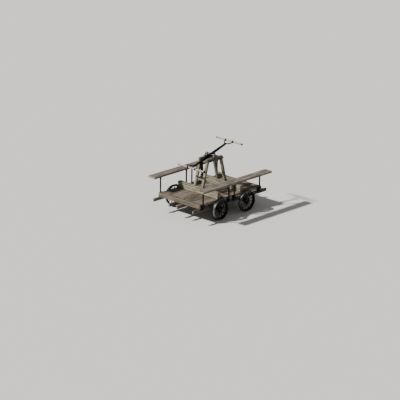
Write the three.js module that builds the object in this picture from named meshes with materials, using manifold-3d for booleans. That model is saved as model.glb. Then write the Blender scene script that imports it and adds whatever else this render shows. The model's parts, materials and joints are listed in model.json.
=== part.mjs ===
// Hand-pumped railway handcar: a plank deck on four spoked flanged wheels, with two side benches,
// an A-frame carrying a walking beam with two T-bars, and a connecting rod, crank and gear drive.
// Millimetres, +Z up, +X along the track, +Y across it. The origin is on the floor under the middle.
import * as THREE from 'three';
import { mergeVertices } from 'three/addons/utils/BufferGeometryUtils.js';
import Module from 'manifold-3d';

const wasm = await Module();
wasm.setup();

// ---- driving dimensions ----
const GAP = 0.3;                 // clearance between pieces that touch

const WHEELBASE = 860;
const FLANGE_R = 250;            // wheel flange, which stands on the floor at z = 0
const TREAD_R = 228;             // 18-inch wheels
const RIM_IN_R = 202;
const WHEEL_IN_Y = 684;          // inner face of the flange: 1435 mm gauge
const WHEEL_WIDTH = 72;
const HUB_INNER = -30;           // the hub's ends, from the flange's face
const HUB_OUTER = 98;
const SPOKES = 12;
const HUB_R = 44;
const AXLE_R = 22;
const AXLE_HALF = 794;

const DECK_TOP = 450;
const PLANK_THICK = 45;
const END_BEAM_DEPTH = 92;       // the cross beams at the ends, flush with the planks
const JOIST_WIDTH = 110;
const DECK_HALF_X = 1000;
const DECK_HALF_Y = 625;
const END_BEAM = 110;
const PLANK_GAP = 4;
const ROD_SLOT = [-300, -165];   // opening in the middle planks for the connecting rod

const SILL_HEIGHT = 72;
const SILL_WIDTH = 44;
const SILL_HALF_X = 1176;        // the sills run past the deck as lifting handles
const INNER_SILL_Y = 118;

const BOLSTER_X = 361;
const BOLSTER_WIDTH = 100;
const BOLSTER_TOP = 595;
const BOLSTER_HALF_Y = 610;

const FRAME_Y = 112;             // middle of each side of the A-frame
const TIMBER = 60;
const LEG_TOP_X = 215;
const LEG_TOP = 1130;
const TOP_BAR_HALF = 245;
const TOP_BAR_TOP = 1213;
const RUNG_Z = 758;
const RUNG_HEIGHT = 48;
const RUNG_THICK = 22;

const BENCH_HALF_X = 1105;
const BENCH_WIDTH = 218;
const BENCH_Y = 736;
const BENCH_THICK = 45;
const BENCH_TOP = 820;
const POST_R = 17.5;
const POST_Y = 649;
const POST_XS = { 1: -907, 2: -88, 3: 88, 4: 907 };
const FOOT_PLATE = [114, 8, 132];

const PIVOT_Z = 1254;
const PIVOT_R = 16;
const BEAM_REST = THREE.MathUtils.degToRad(-17);   // the +X end stands up at rest
const BEAM_HALF = 505;
const BEAM_THICK = 28;
const BEAM_MID_HEIGHT = 64;
const BEAM_END_HEIGHT = 44;
const FORK_R = 110;              // middle of the half-round fork
const FORK_SECTION = 24;
const BAR_X = 630;
const BAR_R = 19;
const BAR_LENGTH = 790;

const ROD_PIN_X = -302;          // on the beam, before it is tipped
const ROD_R = 14;

const MODULE = 8;
const GEAR_TEETH = 42;
const PINION_TEETH = 14;
const PRESSURE = THREE.MathUtils.degToRad(25);
const BACKLASH = 0.8;            // on each flank
const GEAR_Y = [34, 62];
const CRANK_Z = 219;
const CRANK_SHAFT_R = 18;
const THROW = 88;                // the crank pin stands straight below the shaft at rest

// ---- derived places ----
const axleZ = FLANGE_R;
const plankBottom = DECK_TOP - PLANK_THICK;
const sillTop = DECK_TOP - END_BEAM_DEPTH - GAP;
const sillBottom = sillTop - SILL_HEIGHT;
const sideSillY = DECK_HALF_Y - SILL_WIDTH / 2;
const crankDrop = axleZ - CRANK_Z;
const centres = MODULE * (GEAR_TEETH + PINION_TEETH) / 2;
const crankX = -WHEELBASE / 2 + Math.sqrt(centres ** 2 - crankDrop ** 2);
const benchBottom = BENCH_TOP - BENCH_THICK;

// ---- materials ----
const paint = (color, roughness, metalness = 0) =>
  new THREE.MeshStandardMaterial({ color, roughness, metalness });
const deckWood = paint(0x9b9180, 0.9);
const benchWood = paint(0x968c7d, 0.85);
const frameWood = paint(0xb9b3a4, 0.9);
const handleWood = paint(0xa89c86, 0.6);
const blackIron = paint(0x242322, 0.55, 0.8);
const wheelIron = paint(0x1f1e1e, 0.5, 0.8);
const greySteel = paint(0x5a5a58, 0.5, 0.8);

// ---- shape helpers ----
const cart = new THREE.Group();

function add(name, geometry, material, parent = cart) {
  const mesh = new THREE.Mesh(geometry, material);
  mesh.name = name;
  parent.add(mesh);
  return mesh;
}

function solid(geometry) {
  const bare = geometry.clone();
  bare.deleteAttribute('normal');
  bare.deleteAttribute('uv');
  const merged = mergeVertices(bare, 1e-4);
  return new wasm.Manifold(new wasm.Mesh({
    numProp: 3,
    vertProperties: new Float32Array(merged.attributes.position.array),
    triVerts: new Uint32Array(merged.index.array),
  }));
}

function shape(manifold) {
  const mesh = manifold.getMesh();
  const geometry = new THREE.BufferGeometry();
  geometry.setAttribute('position', new THREE.BufferAttribute(mesh.vertProperties, 3));
  geometry.setIndex(new THREE.BufferAttribute(mesh.triVerts, 1));
  return geometry;
}

function join(...geometries) {
  return shape(geometries.map(solid).reduce((whole, piece) => whole.add(piece)));
}

function cut(geometry, ...tools) {
  return shape(tools.map(solid).reduce((whole, tool) => whole.subtract(tool), solid(geometry)));
}

// a box between two corners
function block(x0, x1, y0, y1, z0, z1) {
  const geometry = new THREE.BoxGeometry(x1 - x0, y1 - y0, z1 - z0);
  return geometry.translate((x0 + x1) / 2, (y0 + y1) / 2, (z0 + z1) / 2);
}

// a round bar across the track, about the line through (x, z)
function crossBar(radius, y0, y1, x, z, sides = 24) {
  const geometry = new THREE.CylinderGeometry(radius, radius, y1 - y0, sides);
  return geometry.translate(x, (y0 + y1) / 2, z);
}

function uprightBar(radius, z0, z1, x, y, sides = 16) {
  const geometry = new THREE.CylinderGeometry(radius, radius, z1 - z0, sides).rotateX(Math.PI / 2);
  return geometry.translate(x, y, (z0 + z1) / 2);
}

// an outline in the XZ plane given thickness from y0 to y1
function plate(outline, y0, y1, curveSegments = 12) {
  const settings = { depth: y1 - y0, bevelEnabled: false, curveSegments };
  const geometry = new THREE.ExtrudeGeometry(outline, settings).rotateX(Math.PI / 2);
  return geometry.translate(0, y1, 0);
}

function polygon(points) {
  return new THREE.Shape(points.map(([x, z]) => new THREE.Vector2(x, z)));
}

// mirror-image places across the track: near is -Y, far is +Y
const sides = { near: -1, far: 1 };
const ends = { left: -1, right: 1 };

function ordered(a, b) {
  return a < b ? [a, b] : [b, a];
}

// ---- deck and sills ----
function makeSills() {
  for (const [side, sign] of Object.entries(sides)) {
    for (const [kind, middle] of [['side_sill', sideSillY], ['inner_sill', INNER_SILL_Y]]) {
      const [y0, y1] = [sign * middle - SILL_WIDTH / 2, sign * middle + SILL_WIDTH / 2];
      const bar = block(-SILL_HALF_X, SILL_HALF_X, y0, y1, sillBottom, sillTop);
      add(`${kind}_${side}`, bar, frameWood);
    }
  }
}

function makeDeck() {
  const plankEnd = DECK_HALF_X - END_BEAM - PLANK_GAP;
  const beamBottom = DECK_TOP - END_BEAM_DEPTH;
  for (const [end, sign] of Object.entries(ends)) {
    const [x0, x1] = ordered(sign * DECK_HALF_X, sign * (DECK_HALF_X - END_BEAM));
    const beam = block(x0, x1, -DECK_HALF_Y, DECK_HALF_Y, beamBottom, DECK_TOP);
    add(`end_beam_${end}`, beam, deckWood);
    const [j0, j1] = [sign * WHEELBASE / 2 - JOIST_WIDTH / 2, sign * WHEELBASE / 2 + JOIST_WIDTH / 2];
    const joist = block(j0, j1, -DECK_HALF_Y, DECK_HALF_Y, beamBottom, plankBottom - GAP);
    add(`joist_${end}`, joist, frameWood);
  }
  const middleHalf = 42;
  for (const [side, sign] of Object.entries(sides)) {
    const [y0, y1] = ordered(sign * (middleHalf + PLANK_GAP), sign * DECK_HALF_Y);
    const panel = block(-plankEnd, plankEnd, y0, y1, plankBottom, DECK_TOP);
    add(`deck_planks_${side}`, panel, deckWood);
  }
  const spans = { left: [-plankEnd, ROD_SLOT[0]], right: [ROD_SLOT[1], plankEnd] };
  for (const [end, [x0, x1]] of Object.entries(spans)) {
    const plank = block(x0, x1, -middleHalf, middleHalf, plankBottom, DECK_TOP);
    add(`middle_plank_${end}`, plank, deckWood);
  }
}

// ---- A-frame ----
function makeFrame() {
  for (const [end, sx] of Object.entries(ends)) {
    const x = sx * BOLSTER_X;
    const half = BOLSTER_WIDTH / 2;
    const z0 = DECK_TOP + GAP;
    const bolster = block(x - half, x + half, -BOLSTER_HALF_Y, BOLSTER_HALF_Y, z0, BOLSTER_TOP);
    add(`bolster_${end}`, bolster, frameWood);

    const slope = (LEG_TOP_X - BOLSTER_X) / (LEG_TOP - BOLSTER_TOP);
    const thick = TIMBER / 2;
    const legX = (z) => sx * (BOLSTER_X + slope * (z - BOLSTER_TOP));
    const [low, high] = [BOLSTER_TOP + GAP, LEG_TOP];
    for (const [side, sy] of Object.entries(sides)) {
      const outline = polygon([
        [legX(low) - thick, low], [legX(low) + thick, low],
        [legX(high) + thick, high], [legX(high) - thick, high],
      ]);
      const y = sy * FRAME_Y;
      add(`leg_${end}_${side}`, plate(outline, y - thick, y + thick), frameWood);
    }

    const [z1, z2] = [RUNG_Z - RUNG_HEIGHT / 2, RUNG_Z + RUNG_HEIGHT / 2];
    const across = RUNG_THICK / 2;
    const outline = polygon([
      [legX(z1) - across, z1], [legX(z1) + across, z1],
      [legX(z2) + across, z2], [legX(z2) - across, z2],
    ]);
    const reach = FRAME_Y - thick - GAP;
    add(`rung_${end}`, plate(outline, -reach, reach), frameWood);
  }
  for (const [side, sy] of Object.entries(sides)) {
    const y = sy * FRAME_Y;
    const half = TIMBER / 2;
    const bar = block(-TOP_BAR_HALF, TOP_BAR_HALF, y - half, y + half, LEG_TOP + GAP, TOP_BAR_TOP);
    add(`top_bar_${side}`, bar, frameWood);
    add(`pillow_block_${side}`, pillowBlock(y - 25, y + 25), greySteel);
  }
}

// a split bearing on the A-frame's top bar, with the walking beam's shaft through it
function pillowBlock(y0, y1) {
  const base = block(-82, 82, y0, y1, TOP_BAR_TOP + GAP, TOP_BAR_TOP + 16);
  const cheek = polygon([
    [-46, TOP_BAR_TOP + 10], [46, TOP_BAR_TOP + 10], [37, PIVOT_Z], [-37, PIVOT_Z],
  ]);
  const cap = crossBar(37, y0, y1, 0, PIVOT_Z);
  const body = join(base, plate(cheek, y0, y1), cap);
  return cut(body, crossBar(PIVOT_R + 1, y0 - 5, y1 + 5, 0, PIVOT_Z));
}

// ---- benches on pipe posts ----
function makeBenches() {
  for (const [side, sign] of Object.entries(sides)) {
    const [y0, y1] = [sign * BENCH_Y - BENCH_WIDTH / 2, sign * BENCH_Y + BENCH_WIDTH / 2];
    const seat = block(-BENCH_HALF_X, BENCH_HALF_X, y0, y1, benchBottom, BENCH_TOP);
    add(`bench_${side}`, seat, benchWood);
    for (const [number, x] of Object.entries(POST_XS)) {
      add(`post_${side}_${number}`, benchPost(x, sign), blackIron);
    }
  }
}

// a pipe with a foot plate bolted to the deck's edge and a flat arm under the bench
function benchPost(x, sign) {
  const [wide, thick, tall] = FOOT_PLATE;
  const top = benchBottom - GAP;
  const armThick = 12;
  const inner = sign * (DECK_HALF_Y + GAP);
  const [p0, p1] = ordered(inner, inner + sign * thick);
  const foot = block(x - wide / 2, x + wide / 2, p0, p1, DECK_TOP + 2 - tall, DECK_TOP + 2);
  const [a0, a1] = ordered(sign * (POST_Y - 20), sign * (BENCH_Y + 90));
  const arm = block(x - 22, x + 22, a0, a1, top - armThick, top);
  const pipe = uprightBar(POST_R, DECK_TOP - 104, top - armThick / 2, x, sign * POST_Y);
  return join(foot, pipe, arm);
}

// ---- bearings hung under the sills ----
function hangingBearing(x, z, boreR, y0, y1) {
  const halfTop = 95;
  const top = sillBottom - GAP;
  const bossR = boreR + 24;
  const flange = block(x - halfTop, x + halfTop, y0, y1, top - 12, top);
  const web = polygon([
    [x - bossR, z], [x + bossR, z], [x + halfTop * 0.72, top - 10], [x - halfTop * 0.72, top - 10],
  ]);
  const body = join(flange, plate(web, y0, y1), crossBar(bossR, y0, y1, x, z));
  const above = block(x - halfTop, x + halfTop, y0 - 5, y1 + 5, top, top + bossR);
  return cut(body, above, crossBar(boreR, y0 - 5, y1 + 5, x, z));
}

function makeBearings() {
  for (const [side, sign] of Object.entries(sides)) {
    const y = sign * sideSillY;
    for (const [end, sx] of Object.entries(ends)) {
      const box = hangingBearing(sx * WHEELBASE / 2, axleZ, AXLE_R + 1.2, y - 25, y + 25);
      add(`axle_box_${end}_${side}`, box, blackIron);
    }
  }
  for (const [where, y] of [['inner', INNER_SILL_Y], ['outer', sideSillY]]) {
    const bearing = hangingBearing(crankX, CRANK_Z, CRANK_SHAFT_R + 1.2, y - 25, y + 25);
    add(`crank_bearing_${where}`, bearing, blackIron);
  }
}

// ---- wheels ----
// profile points are (radius, distance across the rim from the flange's face)
function spokedWheel(sign) {
  const rim = new THREE.LatheGeometry([
    [RIM_IN_R, 0], [FLANGE_R - 6, 0], [FLANGE_R, 6], [FLANGE_R, 13], [FLANGE_R - 8, 20],
    [TREAD_R + 1, 26], [TREAD_R - 3, WHEEL_WIDTH], [RIM_IN_R, WHEEL_WIDTH], [RIM_IN_R, 0],
  ].map(([r, y]) => new THREE.Vector2(r, y)), 40);
  const hub = new THREE.LatheGeometry([
    [AXLE_R + 0.5, HUB_INNER], [HUB_R - 6, HUB_INNER], [HUB_R, HUB_INNER + 8],
    [HUB_R, HUB_OUTER - 24], [HUB_R - 11, HUB_OUTER], [AXLE_R + 0.5, HUB_OUTER],
    [AXLE_R + 0.5, HUB_INNER],
  ].map(([r, y]) => new THREE.Vector2(r, y)), 16);
  const pieces = [rim, hub];
  const spokeLength = RIM_IN_R - HUB_R + 10;
  for (let i = 0; i < SPOKES; i += 1) {
    const spoke = new THREE.CylinderGeometry(10, 13, spokeLength, 6);
    spoke.rotateZ(-Math.PI / 2).translate(HUB_R - 6 + spokeLength / 2, WHEEL_WIDTH / 2, 0);
    spoke.rotateY((i + 0.5) * 2 * Math.PI / SPOKES);
    pieces.push(spoke);
  }
  const wheel = join(...pieces);
  if (sign < 0) wheel.rotateX(Math.PI);
  return wheel.translate(0, sign * WHEEL_IN_Y, 0);
}

function makeWheelsets() {
  for (const [set, sx] of Object.entries({ drive: -1, idler: 1 })) {
    const x = sx * WHEELBASE / 2;
    add(`${set}_axle`, crossBar(AXLE_R, -AXLE_HALF, AXLE_HALF, x, axleZ), greySteel);
    for (const [side, sign] of Object.entries(sides)) {
      const wheel = add(`${set}_wheel_${side}`, spokedWheel(sign), wheelIron);
      wheel.position.set(x, 0, axleZ);
    }
  }
}

// ---- gear drive ----
const involute = (angle) => Math.tan(angle) - angle;

// an involute gear outline with a tooth centred on the direction `phase`
function gearOutline(teeth, phase) {
  const pitchR = MODULE * teeth / 2;
  const baseR = pitchR * Math.cos(PRESSURE);
  const tipR = pitchR + 0.9 * MODULE;
  const rootR = pitchR - 1.15 * MODULE;
  const halfAngle = (r) => {
    const pressureAt = Math.acos(Math.min(1, baseR / r));
    const full = Math.PI / (2 * teeth) + involute(PRESSURE) - involute(pressureAt);
    return full - BACKLASH / (2 * pitchR);
  };
  const flankR = [Math.max(rootR + 1, baseR + 0.5), pitchR, tipR];
  const rise = [[rootR, halfAngle(flankR[0]) + 0.004], ...flankR.map((r) => [r, halfAngle(r)])];
  const tooth = [...rise, ...rise.map(([r, a]) => [r, -a]).reverse()];
  const points = [];
  for (let i = 0; i < teeth; i += 1) {
    const middle = phase + i * 2 * Math.PI / teeth;
    for (const [r, a] of tooth) points.push([r * Math.cos(middle - a), r * Math.sin(middle - a)]);
  }
  return polygon(points);
}

function makeDrive() {
  const toPinion = Math.atan2(crankDrop, -WHEELBASE / 2 - crankX);
  const gearShape = gearOutline(GEAR_TEETH, toPinion);
  const windows = 6;
  const tools = [crossBar(CRANK_SHAFT_R + 0.4, 0, 200, 0, 0)];
  for (let i = 0; i < windows; i += 1) {
    const angle = i * 2 * Math.PI / windows;
    const [wx, wz] = [104 * Math.cos(angle), 104 * Math.sin(angle)];
    tools.push(crossBar(24, 0, 200, wx, wz, 12));
  }
  const hub = crossBar(44, GEAR_Y[0], 92, 0, 0);
  const boss = crossBar(26, GEAR_Y[0] - 4, GEAR_Y[0] + 10, 0, -THROW, 20);
  const gear = cut(join(plate(gearShape, ...GEAR_Y), hub, boss), ...tools);
  add('bull_gear', gear, blackIron).position.set(crankX, 0, CRANK_Z);
  const shaft = crossBar(CRANK_SHAFT_R, GEAR_Y[0] + 2, DECK_HALF_Y + 6, crankX, CRANK_Z);
  add('crankshaft', shaft, greySteel);

  const gapPhase = toPinion + Math.PI + Math.PI / PINION_TEETH;
  const pinionShape = gearOutline(PINION_TEETH, gapPhase);
  const collar = crossBar(36, GEAR_Y[1] - 2, 96, 0, 0);
  const blank = join(plate(pinionShape, GEAR_Y[0] - 2, GEAR_Y[1] + 2), collar);
  const pinion = cut(blank, crossBar(AXLE_R + 0.5, 0, 200, 0, 0));
  add('drive_pinion', pinion, blackIron).position.set(-WHEELBASE / 2, 0, axleZ);
}

// ---- walking beam ----
function fork(sign) {
  const half = FORK_SECTION / 2;
  const centreX = BEAM_HALF + FORK_R;
  const horseshoe = new THREE.Shape();
  horseshoe.moveTo(BAR_X, -FORK_R - half);
  horseshoe.lineTo(centreX, -FORK_R - half);
  horseshoe.absarc(centreX, 0, FORK_R + half, 1.5 * Math.PI, 0.5 * Math.PI, true);
  horseshoe.lineTo(BAR_X, FORK_R + half);
  horseshoe.lineTo(BAR_X, FORK_R - half);
  horseshoe.lineTo(centreX, FORK_R - half);
  horseshoe.absarc(centreX, 0, FORK_R - half, 0.5 * Math.PI, 1.5 * Math.PI, false);
  horseshoe.lineTo(BAR_X, -FORK_R + half);
  horseshoe.closePath();
  const settings = { depth: FORK_SECTION, bevelEnabled: false, curveSegments: 10 };
  const bow = new THREE.ExtrudeGeometry(horseshoe, settings).translate(0, 0, -half);
  if (sign < 0) bow.rotateZ(Math.PI);
  const eyes = [-1, 1].map((side) => {
    const y = side * FORK_R;
    return crossBar(31, y - half, y + half, sign * BAR_X, 0, 16);
  });
  return [bow, ...eyes];
}

function makeWalkingBeam() {
  const rocker = new THREE.Group();
  rocker.position.set(0, 0, PIVOT_Z);
  rocker.rotation.y = BEAM_REST;
  cart.add(rocker);

  const [mid, end] = [BEAM_MID_HEIGHT / 2, BEAM_END_HEIGHT / 2];
  const web = polygon([
    [-BEAM_HALF, -end], [-60, -mid], [60, -mid], [BEAM_HALF, -end],
    [BEAM_HALF, end], [60, mid], [-60, mid], [-BEAM_HALF, end],
  ]);
  const bar = plate(web, -BEAM_THICK / 2, BEAM_THICK / 2);
  const hub = crossBar(38, -30, 30, 0, 0);
  const joined = join(bar, hub, ...fork(1), ...fork(-1));
  const bores = [
    crossBar(PIVOT_R + 0.4, -60, 60, 0, 0),
    crossBar(13.2, -60, 60, ROD_PIN_X, 0),
    crossBar(BAR_R + 0.5, -200, 200, BAR_X, 0),
    crossBar(BAR_R + 0.5, -200, 200, -BAR_X, 0),
  ];
  add('walking_beam', cut(joined, ...bores), blackIron, rocker);
  add('pivot_shaft', crossBar(PIVOT_R, -150, 150, 0, 0), greySteel, rocker);
  const half = BAR_LENGTH / 2;
  add('t_bar_left', crossBar(BAR_R, -half, half, -BAR_X, 0), handleWood, rocker);
  add('t_bar_right', crossBar(BAR_R, -half, half, BAR_X, 0), handleWood, rocker);

  const pin = new THREE.Vector3(ROD_PIN_X, 0, 0).applyEuler(rocker.rotation).add(rocker.position);
  const crankPin = new THREE.Vector3(crankX, 0, CRANK_Z - THROW);
  const rodLength = pin.distanceTo(crankPin);
  const hanging = new THREE.Group();
  hanging.position.copy(pin);
  hanging.rotation.y = -Math.atan2(crankPin.x - pin.x, pin.z - crankPin.z);
  cart.add(hanging);
  const straps = [-1, 1].map((side) => {
    const [y0, y1] = ordered(side * 17, side * 27);
    return block(-22, 22, y0, y1, -285, 26);
  });
  const connectingRod = join(
    ...straps,
    block(-22, 22, -27, 27, -285, -235),
    uprightBar(ROD_R, -rodLength, -240, 0, 0, 12),
    crossBar(12, -34, 34, 0, 0, 16),
    crossBar(34, -16, 16, 0, -rodLength),
    crossBar(14, -20, GEAR_Y[0] - 7, 0, -rodLength, 16),
  );
  add('connecting_rod', connectingRod, blackIron, hanging);
}

makeSills();
makeDeck();
makeFrame();
makeBenches();
makeBearings();
makeWheelsets();
makeDrive();
makeWalkingBeam();

export default cart;
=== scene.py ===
"""Hand-pumped railway handcar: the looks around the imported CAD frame.

Every piece takes its place from the frame's nodes and joints, rides on a CAD body, and carries a
procedural finish. X runs along the track, Y across it, Z up. Lengths are metres; mm() and
points_mm() turn millimetres into them.
"""
from __future__ import annotations

import json
import logging
import math
import random
from dataclasses import dataclass, field
from enum import Enum
from typing import Sequence

import bmesh
import bpy
from mathutils import Matrix, Vector, noise

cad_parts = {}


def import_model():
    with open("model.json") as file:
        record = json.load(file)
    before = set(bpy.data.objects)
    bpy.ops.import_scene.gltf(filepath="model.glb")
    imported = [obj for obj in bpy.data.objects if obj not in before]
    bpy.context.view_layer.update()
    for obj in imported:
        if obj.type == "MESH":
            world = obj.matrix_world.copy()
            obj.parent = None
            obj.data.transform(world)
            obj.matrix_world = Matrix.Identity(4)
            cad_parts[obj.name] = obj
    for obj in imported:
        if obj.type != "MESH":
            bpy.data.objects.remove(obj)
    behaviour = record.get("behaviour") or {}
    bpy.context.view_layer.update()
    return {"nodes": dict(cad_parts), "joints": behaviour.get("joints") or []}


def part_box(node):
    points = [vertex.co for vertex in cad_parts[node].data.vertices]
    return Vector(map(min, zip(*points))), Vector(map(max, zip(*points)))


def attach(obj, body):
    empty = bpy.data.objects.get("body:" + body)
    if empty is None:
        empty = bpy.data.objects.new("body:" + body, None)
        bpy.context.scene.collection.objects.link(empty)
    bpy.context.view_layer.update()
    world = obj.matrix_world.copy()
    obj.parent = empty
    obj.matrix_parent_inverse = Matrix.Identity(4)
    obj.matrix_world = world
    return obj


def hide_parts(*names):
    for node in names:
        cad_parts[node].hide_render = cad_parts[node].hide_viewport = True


LOG = logging.getLogger("handcar")
X, Y, Z = Vector((1, 0, 0)), Vector((0, 1, 0)), Vector((0, 0, 1))
QUARTER = math.radians(90)

Tree = bpy.types.NodeTree
Node = bpy.types.Node
Socket = bpy.types.NodeSocket
Material = bpy.types.Material
Object = bpy.types.Object
Mesh = bmesh.types.BMesh
Point = tuple[float, float]
Spot = tuple[Vector, Vector]


class Place(Enum):
    """A choice of where a piece goes."""

    @property
    def word(self) -> str:
        """The choice in node names."""
        return self.name.lower()


class Side(Place):
    """Which side of the track a piece is on."""

    NEAR = -1
    FAR = 1


class End(Place):
    """Which end of the handcar a piece is at."""

    LEFT = -1
    RIGHT = 1


def mm(value: float) -> float:
    """Turns millimetres into metres.

    Args:
        value: a length in millimetres.

    Returns:
        The length in metres.
    """
    return value / 1000.0


def points_mm(*pairs: Point) -> list[Point]:
    """Turns pairs of millimetres into metres.

    Args:
        pairs: two lengths each, in millimetres.

    Returns:
        The pairs in metres.
    """
    return [(mm(a), mm(b)) for a, b in pairs]


def linear(hex_colour: str) -> tuple[float, float, float, float]:
    """Turns an sRGB hex colour into linear RGBA.

    Args:
        hex_colour: six hex digits, without a hash.

    Returns:
        The colour for a node socket.
    """
    channels = [int(hex_colour[i:i + 2], 16) / 255.0 for i in (0, 2, 4)]
    low = [c / 12.92 if c <= 0.04045 else ((c + 0.055) / 1.055) ** 2.4 for c in channels]
    return (low[0], low[1], low[2], 1.0)


def plug(tree: Tree, node: Node, inputs: dict) -> None:
    """Gives a node's inputs their values and links.

    Args:
        tree: the node tree.
        node: the node.
        inputs: input name or number, to a value, an output socket, or a node whose first output
            is meant.
    """
    for key, value in inputs.items():
        if isinstance(value, Node):
            value = value.outputs[0]
        if isinstance(value, Socket):
            tree.links.new(value, node.inputs[key])
        else:
            node.inputs[key].default_value = value


def add(tree: Tree, kind: str, settings: dict | None = None, inputs: dict | None = None) -> Node:
    """Adds a node with its settings, values and links.

    Args:
        tree: the node tree to add to.
        kind: the node's type name.
        settings: properties of the node.
        inputs: what plug() takes.

    Returns:
        The new node.
    """
    node = tree.nodes.new(kind)
    for key, value in (settings or {}).items():
        setattr(node, key, value)
    plug(tree, node, inputs or {})
    return node


# ---------------------------------------------------------------- finishes


def blank_material(name: str) -> tuple[Material, Tree, Node]:
    """Makes a material with only a Principled shader and its output.

    Args:
        name: the material's name.

    Returns:
        The material, its node tree and the shader node.
    """
    material = bpy.data.materials.new(name)
    material.use_nodes = True
    tree = material.node_tree
    tree.nodes.clear()
    shader = add(tree, "ShaderNodeBsdfPrincipled")
    add(tree, "ShaderNodeOutputMaterial", None, {"Surface": shader})
    return material, tree, shader


def mixed(tree: Tree, factor: object, low: object, high: object) -> Socket:
    """Mixes two colours.

    Args:
        tree: the node tree.
        factor: value or socket, 0 for low and 1 for high.
        low: first colour or socket.
        high: second colour or socket.

    Returns:
        The mixed colour.
    """
    return add(tree, "ShaderNodeMix", {"data_type": "RGBA", "blend_type": "MIX"},
               {0: factor, 6: low, 7: high}).outputs[2]


def spread(tree: Tree, value: object, low: float, high: float, start: float = 0.0,
           stop: float = 1.0) -> Socket:
    """Maps a value from one range to another, clamped.

    Args:
        tree: the node tree.
        value: socket to map.
        low: input that gives start.
        high: input that gives stop.
        start: output at low.
        stop: output at high.

    Returns:
        The mapped value.
    """
    return add(tree, "ShaderNodeMapRange", {"clamp": True},
               {"Value": value, 1: low, 2: high, 3: start, 4: stop}).outputs[0]


def maths(tree: Tree, operation: str, *values: object) -> Socket:
    """Works out a value with a Math node.

    Args:
        tree: the node tree.
        operation: the node's operation.
        values: values or sockets for its inputs.

    Returns:
        The result.
    """
    return add(tree, "ShaderNodeMath", {"operation": operation},
               dict(enumerate(values))).outputs[0]


def attribute(tree: Tree, name: str, output: str = "Fac") -> Socket:
    """Reads one of the mesh's attributes.

    Args:
        tree: the node tree.
        name: the attribute's name.
        output: which form of it is wanted.

    Returns:
        Its value.
    """
    return add(tree, "ShaderNodeAttribute", {"attribute_name": name}).outputs[output]


def noise_of(tree: Tree, place: object, scale: float, detail: float, **more: object) -> Socket:
    """Adds a noise texture.

    Args:
        tree: the node tree.
        place: where it is read.
        scale: its scale.
        detail: its octaves.
        more: other inputs by name; W makes it four-dimensional.

    Returns:
        The noise, about 0.5 on average.
    """
    settings = {"noise_dimensions": "4D"} if "W" in more else None
    return add(tree, "ShaderNodeTexNoise", settings,
               {"Vector": place, "Scale": scale, "Detail": detail, **more}).outputs[0]


def along_grain(tree: Tree, grain: Socket, width_mm: float, stretch: float) -> Node:
    """Scales the grain's coordinates so that a fibre is about one unit wide.

    Args:
        tree: the node tree.
        grain: the grain coordinates, fibres along X.
        width_mm: a fibre's width.
        stretch: a fibre's length in widths.

    Returns:
        The mapping node.
    """
    per_metre = 1.0 / mm(width_mm)
    return add(tree, "ShaderNodeMapping", None,
               {"Vector": grain, "Scale": (per_metre / stretch, per_metre, per_metre)})


def cracks(tree: Tree, value: Socket, low: float, high: float, depth: float) -> Socket:
    """Draws thin cracks where a noise crosses its middle.

    Args:
        tree: the node tree.
        value: the noise.
        low: how far from the middle a crack is still at its full depth.
        high: how far from the middle it ends.
        depth: its full depth.

    Returns:
        The depth, 0 on sound wood.
    """
    off = maths(tree, "ABSOLUTE", maths(tree, "SUBTRACT", value, 0.5))
    return spread(tree, off, low, high, depth, 0.0)


def brighter(tree: Tree, colour: Socket, value: Socket) -> Node:
    """Multiplies a colour's brightness.

    Args:
        tree: the node tree.
        colour: the colour.
        value: the factor.

    Returns:
        The node.
    """
    return add(tree, "ShaderNodeHueSaturation", None, {"Value": value, "Color": colour})


def surface(tree: Tree, shader: Node, colour: object, roughness: object, height: Socket,
            relief_mm: float, strength: float) -> None:
    """Wires colour, roughness and relief into a shader.

    Args:
        tree: the node tree.
        shader: the Principled shader.
        colour: the base colour.
        roughness: the roughness.
        height: the relief, about 0 to 1.
        relief_mm: how deep the relief is.
        strength: how much of it shows.
    """
    bump = add(tree, "ShaderNodeBump", None,
               {"Strength": strength, "Distance": mm(relief_mm), "Height": height})
    plug(tree, shader, {"Base Color": colour, "Roughness": roughness, "Normal": bump})


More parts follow.
